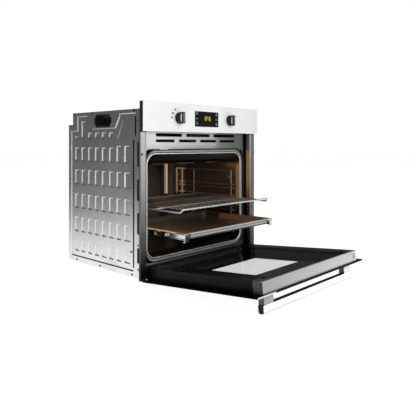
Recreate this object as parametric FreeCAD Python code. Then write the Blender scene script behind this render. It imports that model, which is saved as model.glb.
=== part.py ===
import FreeCAD, Part
import math
import os

V = FreeCAD.Vector

# Built-in wall oven, in millimetres. +X is to the right seen from the front, +Y to the back, +Z up.
# The origin is on the underside of the base plate, centred in X, in the plane of the front flange.

# ---- driving dimensions: outside ----
WIDTH = 595.0              # facia and door width
HEIGHT = 595.0             # underside of the body to the top of the facia
SHEET = 1.2                # casing sheet thickness
SIDE_X = 278.0             # outer face of the side panels
BODY_FRONT_Y = 26.0        # front edge of the side panels
BODY_BACK_Y = 472.0        # back of the lower body
STEP_BACK_Y = 442.0        # back of the upper body
STEP_Z = 527.0             # height of the step in the back
BODY_TOP_Z = 571.6
FIELD_DEPTH = 3.4          # how far a side panel's middle is pressed in
PAD_DEPTH = 3.4            # how much further its pads go in
PRESS_SLOPE = 3.4          # width of the sloping edges of both

# ---- facia ----
FACIA_FRONT_Y = -15.3
FACIA_BOTTOM_Z = 494.7
FACIA_THICK = 2.0
FACIA_BACK_Y = 4.8
CONTROL_Z = 543.7          # centre height of the knobs and the display
DISPLAY_X = (-63.0, 61.0)
DISPLAY_HEIGHT = 56.0
FUNCTION_KNOB_X = -138.0
TEMPERATURE_KNOB_X = 126.5
KNOB_RADIUS = 20.5
KNOB_RIM_Y = -34.0
KNOB_GRIP_Y = -40.0
KNOB_GRIP_WIDTH = 10.5
SHAFT_RADIUS = 3.0
RUNNING_GAP = 0.05

# ---- front frame ----
FLANGE_X = 296.0
FLANGE_INNER_X = 276.0
RECESS_WALL_X = 269.0
RECESS_Y = 31.0
RECESS_BOTTOM_Z = 22.0
FIXING_HOLE_X = 290.5
FIXING_HOLE_Z = 418.0
FIXING_HOLE_R = 2.8
VENT_SPAN = 412.0
UPPER_VENTS = (3, 21.5, 478.5, 490.5)     # count, gap, bottom, top
LOWER_VENTS = (4, 21.4, 458.6, 468.6)

# ---- cavity ----
MOUTH_X = 244.0
MOUTH_Z = (58.7, 418.7)
MOUTH_RADIUS = 38.0
MOUTH_Y = 35.0
CAVITY_X = 242.5
CAVITY_Z = (72.0, 393.0)
CAVITY_BACK_Y = 440.0
CAVITY_CORNER = 45.0           # plan radius of the upright back corners
CAVITY_EDGE = 20.0             # radius along the floor and roof edges
CAVITY_THROAT_Y = 62.0
LINER = 1.2
FAN_Z = 230.0
BAFFLE_HALF = 134.0
BAFFLE_FRONT_Y = 408.0
LAMP = (-169.0, 338.0)         # X and Z on the back wall
PROBE = (176.0, 368.0)
ELEMENT_R = 3.2
GRILL_Z = 380.0
RING_RADIUS = 92.0

# ---- racks, rails, shelf and tray ----
RACK_X = 235.5
RUNNER_X = 230.5
RACK_Z = (88.0, 342.0)
RACK_SCREWS_Y = (84.0, 392.5)
RACK_SCREWS_Z = (118.0, 315.0)
RACK_RODS_Y = (75.0, 297.0, 374.0, 411.0)
RUNNER_LOW_Z = [89.0 + 45.0 * level for level in range(5)]
RUNNER_GAP = 14.0
ROD = 2.5
SHELF_Z = 229.5
SHELF_HALF = 228.0
SHELF_FRONT_Y = -116.0
SHELF_DEPTH = 360.0
TRAY_TOP_Z = 162.8
TRAY_FLOOR_Z = 144.0
TRAY_HALF = 229.0
TRAY_FRONT_Y = -139.0
TRAY_DEPTH = 356.0
TRAY_PULL = 184.0          # how far the tray and its sliders are drawn out
RAIL_LENGTH = 340.0
RAIL_BACK_Y = 392.0        # back end of the fixed rail

# ---- door: s runs up the closed door, t outwards through it ----
DOOR_PLANE_Y = 2.0         # closed position of t = 0
DOOR_BASE_Z = 0.0          # closed position of s = 0
DOOR_TURN = 85.0           # from closed to the open stop
OPEN_RISE = 18.4           # height of t = 0 under the flange plane when open
GLASS_OUTER_T = 19.0
GLASS = 4.0
DOOR_S = (6.8, 492.0)
COLUMN_X = (208.0, 264.5)
COLUMN_INNER_T = -21.0
COLUMN_S = (6.8, 450.0)
TRIM_S = 485.0
MIDDLE_PANE = (214.0, (24.0, 470.0), (-1.5, 1.5))         # half width, s, t
INNER_PANE = (207.6, (9.0, 476.0), (-20.0, -16.0))
HANDLE_S = (449.0, 470.0)
HANDLE_T = (50.0, 74.0)
HANDLE_HALF = 247.0
POST_X = (201.0, 244.0)
ARM_X = (242.0, 250.0)
PIN_RADIUS = 2.5
EYE_RADIUS = 3.9


def pivot_point():
    """Hinge axis that carries the closed door to the open stop."""
    turn = math.radians(90.0 - DOOR_TURN)
    c = math.cos(turn)
    s = math.sin(turn)
    rise = OPEN_RISE - DOOR_BASE_Z
    # closed: y = plane - t, z = base + s; open: y = -c s - s' t, z = rise + s' s - c t
    sp = (rise - DOOR_PLANE_Y * c / (1.0 - s)) / ((1.0 - s) + c * c / (1.0 - s))
    tp = (DOOR_PLANE_Y + c * sp) / (1.0 - s)
    return V(0, DOOR_PLANE_Y - tp, DOOR_BASE_Z + sp)


PIVOT = pivot_point()


# ---- shape helpers ----
def box(x, y, z):
    """Box from three (low, high) pairs."""
    return Part.makeBox(x[1] - x[0], y[1] - y[0], z[1] - z[0], V(x[0], y[0], z[0]))


def cyl(start, direction, radius, length):
    return Part.makeCylinder(radius, length, start, direction)


def rod(start, end, radius):
    run = end - start
    return Part.makeCylinder(radius, run.Length, start, run)


def on_axis(axis, u, v, w):
    return {"x": V(w, u, v), "y": V(u, w, v), "z": V(u, v, w)}[axis]


def outline(axis, u, v, radius, w):
    """Closed rounded rectangle in the plane across the axis at w."""
    u0, u1 = u
    v0, v1 = v
    k = radius * (1.0 - math.sqrt(0.5))

    def at(a, b):
        return on_axis(axis, a, b, w)

    corners = [
        (at(u1 - radius, v0), at(u1 - k, v0 + k), at(u1, v0 + radius)),
        (at(u1, v1 - radius), at(u1 - k, v1 - k), at(u1 - radius, v1)),
        (at(u0 + radius, v1), at(u0 + k, v1 - k), at(u0, v1 - radius)),
        (at(u0, v0 + radius), at(u0 + k, v0 + k), at(u0 + radius, v0)),
    ]
    edges = []
    last = corners[-1][2]
    for first, middle, end in corners:
        if (first - last).Length > 1e-6:
            edges.append(Part.LineSegment(last, first).toShape())
        edges.append(Part.Arc(first, middle, end).toShape())
        last = end
    return Part.Wire(edges)


def prism(axis, u, v, radius, w):
    """Rounded rectangle drawn out along the axis from w[0] to w[1]."""
    face = Part.Face(outline(axis, u, v, radius, w[0]))
    return face.extrude(on_axis(axis, 0, 0, w[1] - w[0]))


def frustum(axis, u, v, radius, w, inset):
    """Rounded pad that narrows by the inset on every side from w[0] to w[1]."""
    base = outline(axis, u, v, radius, w[0])
    top = outline(
        axis, (u[0] + inset, u[1] - inset), (v[0] + inset, v[1] - inset), radius - 0.6 * inset, w[1]
    )
    return Part.makeLoft([base, top], True)


def polygon_prism(axis, points, w):
    corners = [on_axis(axis, u, v, w[0]) for u, v in points]
    face = Part.Face(Part.makePolygon(corners + [corners[0]]))
    return face.extrude(on_axis(axis, 0, 0, w[1] - w[0]))


def frame(axis, u, v, radius, w, band):
    """Rounded rectangular ring of the given band width."""
    outer = prism(axis, u, v, radius, w)
    inner = prism(
        axis, (u[0] + band, u[1] - band), (v[0] + band, v[1] - band), max(radius - band, 0.5),
        (w[0] - 1.0, w[1] + 1.0),
    )
    return outer.cut(inner)


def bent_rod(points, radius, bend):
    """Round bar through the points, with a tangent arc of the bend radius at each corner."""
    edges = []
    start = points[0]
    for corner, after in zip(points[1:-1], points[2:]):
        into = (corner - start).normalize()
        out = (after - corner).normalize()
        turn = into.getAngle(out)
        reach = bend * math.tan(turn / 2.0)
        first = corner - into * reach
        last = corner + out * reach
        towards = (out - into).normalize()
        middle = corner + towards * (bend / math.cos(turn / 2.0) - bend)
        edges.append(Part.LineSegment(start, first).toShape())
        edges.append(Part.Arc(first, middle, last).toShape())
        start = last
    edges.append(Part.LineSegment(start, points[-1]).toShape())
    ring = Part.Wire(Part.Circle(points[0], points[1] - points[0], radius).toShape())
    return Part.Wire(edges).makePipeShell([ring], True, True)


def fuse(shapes):
    return shapes[0].multiFuse(shapes[1:]).removeSplitter()


def cut(shape, tools):
    return shape.cut(Part.makeCompound(tools))


def mirrored(shape):
    return shape.mirror(V(0, 0, 0), V(1, 0, 0))


def both_sides(shape):
    return Part.makeCompound([shape, mirrored(shape)])


def opened(shape):
    """Turn a piece of the closed door to the open stop."""
    turned = shape.copy()
    turned.rotate(PIVOT, V(1, 0, 0), DOOR_TURN)
    return turned


def door_box(x, s, t):
    """Box in the closed door's own height s and outward depth t."""
    return box(
        x,
        (DOOR_PLANE_Y - t[1], DOOR_PLANE_Y - t[0]),
        (DOOR_BASE_Z + s[0], DOOR_BASE_Z + s[1]),
    )


def save(name, shape):
    shape.exportStep(os.path.join("parts", name + ".step"))


# ---- casing ----
def pad_layout():
    """Rows and columns of the pressed pads on a side panel, as (back Y, width, bottom Z, top Z)."""
    pitch = 44.9
    back = 431.8
    width = 29.0
    rows = [(40.0, 81.0), (115.4, 172.0), (205.6, 261.0), (297.0, 354.0), (385.0, 439.5)]
    cells = []
    for column in range(8):
        wide = 5.0 if column == 7 else 0.0
        for bottom, top in rows:
            tall = 6.5 if column > 5 and bottom > 380.0 else 0.0
            cells.append((back - pitch * column, width + wide, bottom, top + tall))
    top_row = [482.8, 539.0, 494.5, 494.5, 494.5, 494.5]
    for column, top in enumerate(top_row):
        cells.append((back - pitch * column, width, 471.7, top))
    return cells


def inset_corners(points, inset):
    """Corners of an anticlockwise polygon moved inwards by the inset on every side."""
    moved = []
    for before, here, after in zip(points[-1:] + points[:-1], points, points[1:] + points[:1]):
        into = V(here[0] - before[0], here[1] - before[1], 0).normalize()
        out = V(after[0] - here[0], after[1] - here[1], 0).normalize()
        first = V(-into.y, into.x, 0)
        second = V(-out.y, out.x, 0)
        step = (first + second) * (inset / (1.0 + first.dot(second)))
        moved.append((here[0] + step.x, here[1] + step.y))
    return moved


def polygon_frustum(points, x, inset):
    """Polygon in Y and Z at x[0] that narrows by the inset on every side towards x[1]."""
    wires = []
    for level, corners in ((x[0], points), (x[1], inset_corners(points, inset))):
        loop = [V(level, u, v) for u, v in corners]
        wires.append(Part.makePolygon(loop + [loop[0]]))
    return Part.makeLoft(wires, True)


def pressed_in(y, z, radius, outer):
    """(cutter, backing) that press a rounded pad inwards from a sheet face at the outer X."""
    lap = 0.3
    cutter = frustum("x", (y[0] - lap, y[1] + lap), (z[0] - lap, z[1] + lap), radius + lap,
                     (outer - lap, outer + PAD_DEPTH), PRESS_SLOPE + lap)
    wall = 0.6
    backing = frustum("x", (y[0] - wall, y[1] + wall), (z[0] - wall, z[1] + wall), radius + wall,
                      (outer + 0.4, outer + PAD_DEPTH + SHEET), PRESS_SLOPE)
    return cutter, backing


def side_panel():
    """Left side panel: a pressed sheet whose outer face looks along -X."""
    outer = -SIDE_X
    inner = outer + SHEET
    profile = [
        (BODY_FRONT_Y, 0.0),
        (BODY_BACK_Y, 0.0),
        (BODY_BACK_Y, STEP_Z),
        (STEP_BACK_Y, STEP_Z),
        (STEP_BACK_Y, BODY_TOP_Z),
        (BODY_FRONT_Y, BODY_TOP_Z),
    ]
    field = [(61.0, 20.0), (455.5, 20.0), (455.5, 503.0), (411.5, 503.0), (411.5, 559.0), (50.5, 559.0),
             (50.5, 474.0), (61.0, 474.0)]
    grip_plate = [(343.0, 566.0), (340.0, 547.0), (309.0, 510.0), (168.0, 511.0), (144.0, 549.0), (141.0, 566.0)]
    grip_plate.reverse()
    floor = outer + FIELD_DEPTH
    pressed = polygon_frustum(inset_corners(field, -0.5), (outer - 0.5, floor), PRESS_SLOPE + 0.5)
    plate = polygon_frustum(inset_corners(grip_plate, -PRESS_SLOPE), (floor + 0.1, outer - 1.0), PRESS_SLOPE)
    backing = polygon_frustum(inset_corners(field, -1.2), (outer + 0.2, floor + SHEET), PRESS_SLOPE)
    sheet = fuse([polygon_prism("x", profile, (outer, inner)), backing]).cut(pressed.cut(plate))
    cutters = []
    backings = []
    for back, width, bottom, top in pad_layout():
        radius = min(6.5, 0.3 * (top - bottom))
        cutter, behind = pressed_in((back - width, back), (bottom, top), radius, floor)
        cutters.append(cutter)
        backings.append(behind)
    rib = polygon_prism("x", [(125.0, 534.0), (133.0, 543.0), (163.0, 482.0), (155.0, 473.0)],
                        (floor - 1.8, floor + 0.2))
    hand_hole = prism("x", (188.0, 296.5), (519.4, 554.5), 16.0, (outer - 5.0, inner + 8.0))
    scallops = [
        cyl(V(outer - 5.0, y, z), V(1, 0, 0), 9.0, 14.0)
        for z in (521.0, 552.5) for y in (207.0, 224.6, 242.2, 259.8, 277.4)
    ]
    slots = [
        prism("x", (31.5, 41.7), z, 3.0, (outer - 1.0, inner + 1.0))
        for z in ((51.0, 103.0), (148.0, 221.0), (261.0, 334.0), (375.0, 460.0))
    ]
    seams = [
        box((outer - 1.0, floor + SHEET + 1.0), (65.0, 66.8), (32.0, 466.0)),
        box((outer - 1.0, floor + SHEET + 1.0), (54.5, 56.3), (482.0, 546.0)),
    ]
    holes = [cyl(V(outer - 1.0, y, 8.8), V(1, 0, 0), 2.6, 4.0) for y in (413.0, 257.0, 69.0)]
    holes += [cyl(V(outer - 1.0, y, 566.0), V(1, 0, 0), 2.2, 4.0) for y in (59.0, 310.0, 436.0)]
    return cut(fuse([sheet, rib] + backings), cutters + [hand_hole] + scallops + slots + seams + holes)


def top_cover():
    plate = box((-SIDE_X + SHEET, SIDE_X - SHEET), (BODY_FRONT_Y, STEP_BACK_Y - SHEET),
                (BODY_TOP_Z - SHEET, BODY_TOP_Z))
    lip = box((-SIDE_X + SHEET, SIDE_X - SHEET), (BODY_FRONT_Y, BODY_FRONT_Y + SHEET),
              (BODY_TOP_Z - SHEET, BODY_TOP_Z + 10.0))
    ribs = [
        box((x - 4.0, x + 4.0), (90.0, 400.0), (BODY_TOP_Z - 0.2, BODY_TOP_Z + 2.0))
        for x in (-180.0, -60.0, 60.0, 180.0)
    ]
    slots = [
        prism("z", (x - 3.0, x + 3.0), (410.0, 434.0), 2.9, (BODY_TOP_Z - 2.0, BODY_TOP_Z + 1.0))
        for x in range(-120, 121, 20)
    ]
    return cut(fuse([plate, lip] + ribs), slots)


def base_plate():
    nose = 266.0
    back = box((-SIDE_X + SHEET, SIDE_X - SHEET), (40.0, BODY_BACK_Y - SHEET), (0.0, SHEET))
    front = box((-nose, nose), (0.0, 41.0), (0.0, SHEET))
    lip = box((-nose, nose), (44.0, 44.0 + SHEET), (0.2, 40.0))
    ribs = [
        box((x - 5.0, x + 5.0), (120.0, 420.0), (SHEET - 0.2, SHEET + 3.0))
        for x in (-160.0, 0.0, 160.0)
    ]
    arm_gaps = [
        box((side - 9.0, side + 9.0), (40.0, 50.0), (2.0, 30.0))
        for side in (-0.5 * sum(ARM_X), 0.5 * sum(ARM_X))
    ]
    slots = [
        prism("z", (x - 20.0, x + 20.0), (440.0, 448.0), 3.9, (-1.0, 3.0)) for x in (-150, -75, 0, 75, 150)
    ]
    return cut(fuse([back, front, lip] + ribs), arm_gaps + slots)


def rear_panel():
    half = SIDE_X - SHEET
    lower = box((-half, half), (BODY_BACK_Y - SHEET, BODY_BACK_Y), (SHEET, STEP_Z))
    ledge = box((-half, half), (STEP_BACK_Y - SHEET, BODY_BACK_Y), (STEP_Z - SHEET, STEP_Z))
    upper = box((-half, half), (STEP_BACK_Y - SHEET, STEP_BACK_Y),
                (STEP_Z - SHEET, BODY_TOP_Z - SHEET))
    motor_hole = cyl(V(0, BODY_BACK_Y - 5.0, FAN_Z), V(0, 1, 0), 48.0, 10.0)
    louvres = [
        prism("y", (x - 24.0, x + 24.0), (z - 2.5, z + 2.5), 2.4, (BODY_BACK_Y - 3.0, BODY_BACK_Y + 1.0))
        for x in (-210.0, 210.0)
        for z in range(430, 501, 14)
    ]
    return cut(fuse([lower, ledge, upper]), [motor_hole] + louvres)


def rear_fan_cover():
    half = 150.0
    depth = 63.0
    z = (110.0, 350.0)
    start = BODY_BACK_Y
    shell = prism("y", (-half, half), z, 14.0, (start, start + depth))
    hollow = prism("y", (-half + 1.2, half - 1.2), (z[0] + 1.2, z[1] - 1.2), 12.8,
                   (start - 1.0, start + depth - 1.2))
    flange = frame("y", (-half - 12.0, half + 12.0), (z[0] - 12.0, z[1] + 12.0), 20.0,
                   (start, start + 1.0), 13.0)
    slots = [
        prism("y", (x - 2.5, x + 2.5), (180.0, 280.0), 2.4, (start + depth - 3.0, start + depth + 1.0))
        for x in range(-60, 61, 12)
    ]
    return cut(fuse([shell.cut(hollow), flange]), slots)


# ---- front frame ----
def vent_slots(count, gap, bottom, top):
    length = (VENT_SPAN - gap * (count - 1)) / count
    slots = []
    for index in range(count):
        left = -VENT_SPAN / 2.0 + index * (length + gap)
        slots.append(prism("y", (left, left + length), (bottom, top), 2.5,
                           (RECESS_Y - 2.0, RECESS_Y + 3.0)))
    return slots


def front_frame():
    bend = FLANGE_INNER_X - RECESS_WALL_X
    top = FACIA_BOTTOM_Z
    outer_round = cyl(V(FLANGE_INNER_X, bend, 0.0), V(0, 0, 1), bend, top)
    inner_round = cyl(V(FLANGE_INNER_X, bend, -1.0), V(0, 0, 1), bend - SHEET, top + 2.0)
    quarter = box((RECESS_WALL_X, FLANGE_INNER_X), (0.0, bend), (0.0, top))
    corner = outer_round.common(quarter).cut(inner_round)
    flange = box((FLANGE_INNER_X, FLANGE_X), (0.0, SHEET), (0.0, top))
    hem = box((FLANGE_X - SHEET, FLANGE_X), (0.0, 9.0), (0.0, top))
    wall = box((RECESS_WALL_X, RECESS_WALL_X + SHEET), (bend, RECESS_Y + SHEET), (0.0, top))
    side = fuse([flange, corner, hem, wall])
    face = box((-RECESS_WALL_X - SHEET, RECESS_WALL_X + SHEET), (RECESS_Y, RECESS_Y + SHEET),
               (RECESS_BOTTOM_Z, 503.0))
    tabs = box((RECESS_WALL_X, SIDE_X - SHEET), (RECESS_Y, RECESS_Y + SHEET), (40.0, 560.0))
    mouth = prism("y", (-260.5, 260.5), (44.0, 435.0), 30.0, (RECESS_Y - 1.0, RECESS_Y + 3.0))
    hole = cyl(V(FIXING_HOLE_X, -1.0, FIXING_HOLE_Z), V(0, 1, 0), FIXING_HOLE_R, 4.0)
    whole = fuse([side, mirrored(side), face, tabs, mirrored(tabs)])
    vents = vent_slots(*UPPER_VENTS) + vent_slots(*LOWER_VENTS)
    return cut(whole, [mouth, hole, mirrored(hole)] + vents)


# ---- control facia ----
def window_box(grow):
    half = DISPLAY_HEIGHT / 2.0
    return prism("y", (DISPLAY_X[0] - grow, DISPLAY_X[1] + grow),
                 (CONTROL_Z - half - grow, CONTROL_Z + half + grow), 2.0 + grow,
                 (FACIA_FRONT_Y - 0.2, FACIA_FRONT_Y + 3.2 + grow))


def shaft_holes(radius):
    return [
        cyl(V(x, FACIA_FRONT_Y - 1.0, CONTROL_Z), V(0, 1, 0), radius, 20.0)
        for x in (FUNCTION_KNOB_X, TEMPERATURE_KNOB_X)
    ]


def control_facia():
    half = WIDTH / 2.0
    skin = box((-half, half), (FACIA_FRONT_Y, FACIA_FRONT_Y + FACIA_THICK), (FACIA_BOTTOM_Z, HEIGHT))
    front_edges = [
        edge for edge in skin.Edges
        if abs(edge.BoundBox.YMin - FACIA_FRONT_Y) < 1e-3 and abs(edge.BoundBox.YMax - FACIA_FRONT_Y) < 1e-3
    ]
    skin = skin.makeFillet(1.0, front_edges)
    return cut(skin, [window_box(0.15)] + shaft_holes(5.0))


def facia_end_caps():
    half = WIDTH / 2.0
    cap = box((half - 5.0, half - 0.6), (FACIA_FRONT_Y + FACIA_THICK, FACIA_BACK_Y),
              (FACIA_BOTTOM_Z + 0.6, HEIGHT - 0.6))
    rear_edges = [e for e in cap.Edges if abs(e.BoundBox.YMin - FACIA_BACK_Y) < 1e-3]
    return both_sides(cap.makeFillet(1.2, rear_edges))


def control_carrier():
    half = WIDTH / 2.0 - 5.5
    front = FACIA_FRONT_Y + FACIA_THICK
    z = (FACIA_BOTTOM_Z + 1.0, HEIGHT - 1.0)
    shell = box((-half, half), (front, FACIA_BACK_Y), z)
    neck = box((-258.0, 258.0), (FACIA_BACK_Y - 1.0, 60.0), (506.0, 568.0))
    hollow = box((-half + 2.5, half - 2.5), (front + 2.5, FACIA_BACK_Y - 2.5), (z[0] + 2.5, z[1] - 2.5))
    neck_hollow = box((-255.5, 255.5), (FACIA_BACK_Y - 5.0, 61.0), (508.5, 565.5))
    return cut(fuse([shell, neck]), [hollow, neck_hollow, window_box(0.4)] + shaft_holes(8.2))


def knob(x):
    """Round knob with a full-width upright grip bar, bored for its shaft."""
    back = FACIA_FRONT_Y - 0.7
    body = cyl(V(x, back, CONTROL_Z), V(0, -1, 0), KNOB_RADIUS, back - KNOB_RIM_Y)
    rim = [e for e in body.Edges if abs(e.BoundBox.YMin - KNOB_RIM_Y) < 1e-3 and e.BoundBox.YLength < 1e-3]
    body = body.makeFillet(1.0, rim)
    dish = cyl(V(x, KNOB_RIM_Y - 1.0, CONTROL_Z), V(0, 1, 0), KNOB_RADIUS - 1.6, 2.2)
    half = KNOB_GRIP_WIDTH / 2.0
    grip = box((x - half, x + half), (KNOB_GRIP_Y, KNOB_RIM_Y + 3.0),
               (CONTROL_Z - KNOB_RADIUS, CONTROL_Z + KNOB_RADIUS))
    round_ends = cyl(V(x, KNOB_GRIP_Y, CONTROL_Z), V(0, 1, 0), KNOB_RADIUS - 0.3, 12.0)
    grip = grip.common(round_ends)
    front_edges = [e for e in grip.Edges if abs(e.BoundBox.YMin - KNOB_GRIP_Y) < 1e-3
                   and abs(e.BoundBox.YMax - KNOB_GRIP_Y) < 1e-3]
    grip = grip.makeFillet(1.2, front_edges)
    bore = cyl(V(x, back + 1.0, CONTROL_Z), V(0, -1, 0), SHAFT_RADIUS, 14.0)
    return fuse([body.cut(dish), grip]).cut(bore)


def shaft(x):
    start = V(x, FACIA_FRONT_Y - 13.0, CONTROL_Z)
    return cyl(start, V(0, 1, 0), SHAFT_RADIUS, 34.0)


def rotary_switch(x, depth):
    front = FACIA_FRONT_Y + FACIA_THICK + 2.6
    body = box((x - 18.0, x + 18.0), (front, front + depth), (CONTROL_Z - 18.0, CONTROL_Z + 18.0))
    bush = cyl(V(x, front - 2.4, CONTROL_Z), V(0, 1, 0), 7.5, 3.0)
    tabs = [
        box((x + step - 2.5, x + step + 2.5), (front + depth - 0.5, front + depth + 8.0),
            (CONTROL_Z - 0.4, CONTROL_Z + 0.4))
        for step in (-10.0, 0.0, 10.0)
    ]
    bore = cyl(V(x, front - 4.0, CONTROL_Z), V(0, 1, 0), SHAFT_RADIUS + RUNNING_GAP, 23.0)
    return fuse([body, bush] + tabs).cut(bore)


def control_board():
    y = FACIA_FRONT_Y + 8.0
    board = box((-72.0, 70.0), (y, y + 1.6), (CONTROL_Z - 32.0, CONTROL_Z + 32.0))
    readout = box((-30.0, 30.0), (y - 3.0, y + 0.2), (CONTROL_Z - 14.0, CONTROL_Z + 18.0))
    parts = [
        box((x - 6.0, x + 6.0), (y + 1.4, y + 7.0), (CONTROL_Z + dz - 5.0, CONTROL_Z + dz + 5.0))
        for x, dz in ((-50.0, 10.0), (-20.0, -12.0), (25.0, 8.0), (52.0, -10.0))
    ]
    return fuse([board, readout] + parts)


# ---- cavity ----
def cavity_solid(grow):
    """The cavity's outline grown outwards: a flared throat and a box with round back corners."""
    throat = Part.makeLoft(
        [
            outline("y", (-MOUTH_X + 1.0 - grow, MOUTH_X - 1.0 + grow),
                    (MOUTH_Z[0] + 1.0 - grow, MOUTH_Z[1] - 1.0 + grow), MOUTH_RADIUS - 1.0 + grow, MOUTH_Y),
            outline("y", (-CAVITY_X - grow, CAVITY_X + grow), (CAVITY_Z[0] - grow, CAVITY_Z[1] + grow),
                    CAVITY_EDGE + grow, CAVITY_THROAT_Y),
        ],
        True,
    )
    front = prism("y", (-CAVITY_X - grow, CAVITY_X + grow), (CAVITY_Z[0] - grow, CAVITY_Z[1] + grow),
                  CAVITY_EDGE + grow, (CAVITY_THROAT_Y, CAVITY_BACK_Y + grow))
    plan = prism("z", (-CAVITY_X - grow, CAVITY_X + grow), (0.0, CAVITY_BACK_Y + grow),
                 CAVITY_CORNER + grow, (0.0, 500.0))
    return fuse([throat, front.common(plan)])


def back_wall_holes(extra):
    """Openings in the back wall for shaft, lamp, probe and element legs, widened by the extra."""
    back = CAVITY_BACK_Y - 4.0
    holes = [
        cyl(V(0, back, FAN_Z), V(0, 1, 0), 8.0 + extra, 40.0),
        cyl(V(LAMP[0], back, LAMP[1]), V(0, 1, 0), 24.0 + extra, 40.0),
        cyl(V(PROBE[0], back, PROBE[1]), V(0, 1, 0), 2.2 + extra, 40.0),
    ]
    legs = [(-30.0, GRILL_Z), (30.0, GRILL_Z), (-40.0, FAN_Z - RING_RADIUS), (40.0, FAN_Z - RING_RADIUS)]
    for x, z in legs:
        holes.append(cyl(V(x, back, z), V(0, 1, 0), ELEMENT_R + 0.3 + extra, 40.0))
    return holes


def rack_screw_holes(radius):
    holes = []
    for y in RACK_SCREWS_Y:
        for z in RACK_SCREWS_Z:
            hole = cyl(V(CAVITY_X - 6.0, y, z), V(1, 0, 0), radius, 40.0)
            holes += [hole, mirrored(hole)]
    return holes


def cavity_liner():
    shell = cavity_solid(LINER).cut(cavity_solid(0.0))
    ridge = 1.6
    ribs = []
    for low in RUNNER_LOW_Z:
        z = low + RUNNER_GAP / 2.0
        rib = box((CAVITY_X - ridge, CAVITY_X + 0.4), (110.0, 350.0), (z - 3.0, z + 3.0))
        ribs += [rib, mirrored(rib)]
    opening = box((-MOUTH_X, MOUTH_X), (MOUTH_Y - 2.0, MOUTH_Y + 0.01), (0.0, 500.0))
    return cut(fuse([shell] + ribs), back_wall_holes(0.0) + rack_screw_holes(3.0) + [opening])


def mouth_ring():
    ring = frame("y", (-MOUTH_X - 2.4, MOUTH_X + 2.4), (MOUTH_Z[0] - 2.4, MOUTH_Z[1] + 2.4),
                 MOUTH_RADIUS + 2.4, (MOUTH_Y - 3.8, MOUTH_Y), 4.8)
    nose = [e for e in ring.Edges if abs(e.BoundBox.YMax - (MOUTH_Y - 3.8)) < 1e-3]
    return ring.makeFillet(1.9, nose)


def door_gasket():
    band = 10.5
    inner_x = MOUTH_X + 3.0
    inner_z = (MOUTH_Z[0] - 3.0, MOUTH_Z[1] + 3.0)
    base = frame("y", (-inner_x - band, inner_x + band), (inner_z[0] - band, inner_z[1] + band),
                 MOUTH_RADIUS + 3.0 + band, (RECESS_Y + 1.6, RECESS_Y + 5.0), band)
    seal_y = DOOR_PLANE_Y - COLUMN_INNER_T + 0.5
    reach = band + 1.0
    lip = frame("y", (-inner_x - reach, inner_x + reach), (inner_z[0] - reach, inner_z[1] + reach),
                MOUTH_RADIUS + 3.0 + reach, (seal_y, RECESS_Y + 3.0), 1.5)
    return fuse([base, lip])


def insulation_blanket():
    half = CAVITY_X + 24.0
    outer = box((-half, half), (CAVITY_THROAT_Y, CAVITY_BACK_Y + 18.0), (CAVITY_Z[0] - 26.0, CAVITY_Z[1] + 28.0))
    inner = box((-CAVITY_X - 2.0, CAVITY_X + 2.0), (CAVITY_THROAT_Y - 1.0, CAVITY_BACK_Y + 2.0),
                (CAVITY_Z[0] - 2.0, CAVITY_Z[1] + 2.0))
    motor = cyl(V(0, CAVITY_BACK_Y, FAN_Z), V(0, 1, 0), 40.0, 30.0)
    element_bay = box((-190.0, 190.0), (98.0, CAVITY_BACK_Y), (CAVITY_Z[0] - 18.0, CAVITY_Z[0]))
    return cut(outer, [inner, motor, element_bay] + rack_screw_holes(4.0) + back_wall_holes(4.0))


def fan_baffle():
    z = (FAN_Z - BAFFLE_HALF, FAN_Z + BAFFLE_HALF)
    front = BAFFLE_FRONT_Y
    outer = frustum("y", (-BAFFLE_HALF - 6.0, BAFFLE_HALF + 6.0), (z[0] - 6.0, z[1] + 6.0), 72.0,
                    (CAVITY_BACK_Y - 0.3, front), 6.0)
    inner = frustum("y", (-BAFFLE_HALF - 4.8, BAFFLE_HALF + 4.8), (z[0] - 4.8, z[1] + 4.8), 70.8,
                    (CAVITY_BACK_Y + 0.9, front + 1.2), 6.0)
    holes = []
    for ring, count in ((14.0, 6), (28.0, 12), (42.0, 18), (56.0, 24)):
        for index in range(count):
            angle = 2.0 * math.pi * index / count
            centre = V(ring * math.cos(angle), front - 1.0, FAN_Z + ring * math.sin(angle))
            holes.append(cyl(centre, V(0, 1, 0), 4.0, 4.0))
    slots = [
        box((x - 26.0, x + 26.0), (front + 10.0, front + 20.0), (z[0] - 10.0, z[1] + 10.0))
        for x in (-40.0, 40.0)
    ]
    return cut(outer.cut(inner), holes + slots)


def fan_impeller():
    back = CAVITY_BACK_Y - 4.0
    disc = cyl(V(0, back - 1.5, FAN_Z), V(0, 1, 0), 70.0, 1.5)
    hub = cyl(V(0, back - 16.0, FAN_Z), V(0, 1, 0), 9.0, 15.0)
    blades = []
    for index in range(12):
        blade = box((38.0, 69.0), (back - 20.0, back - 1.0), (FAN_Z - 0.6, FAN_Z + 0.6))
        blade.rotate(V(54.0, 0, FAN_Z), V(0, 1, 0), 28.0)
        blade.rotate(V(0, 0, FAN_Z), V(0, 1, 0), 30.0 * index)
        blades.append(blade)
    spindle = cyl(V(0, back - 18.0, FAN_Z), V(0, 1, 0), 4.0, 70.0)
    return fuse([disc, hub, spindle] + blades)


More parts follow.
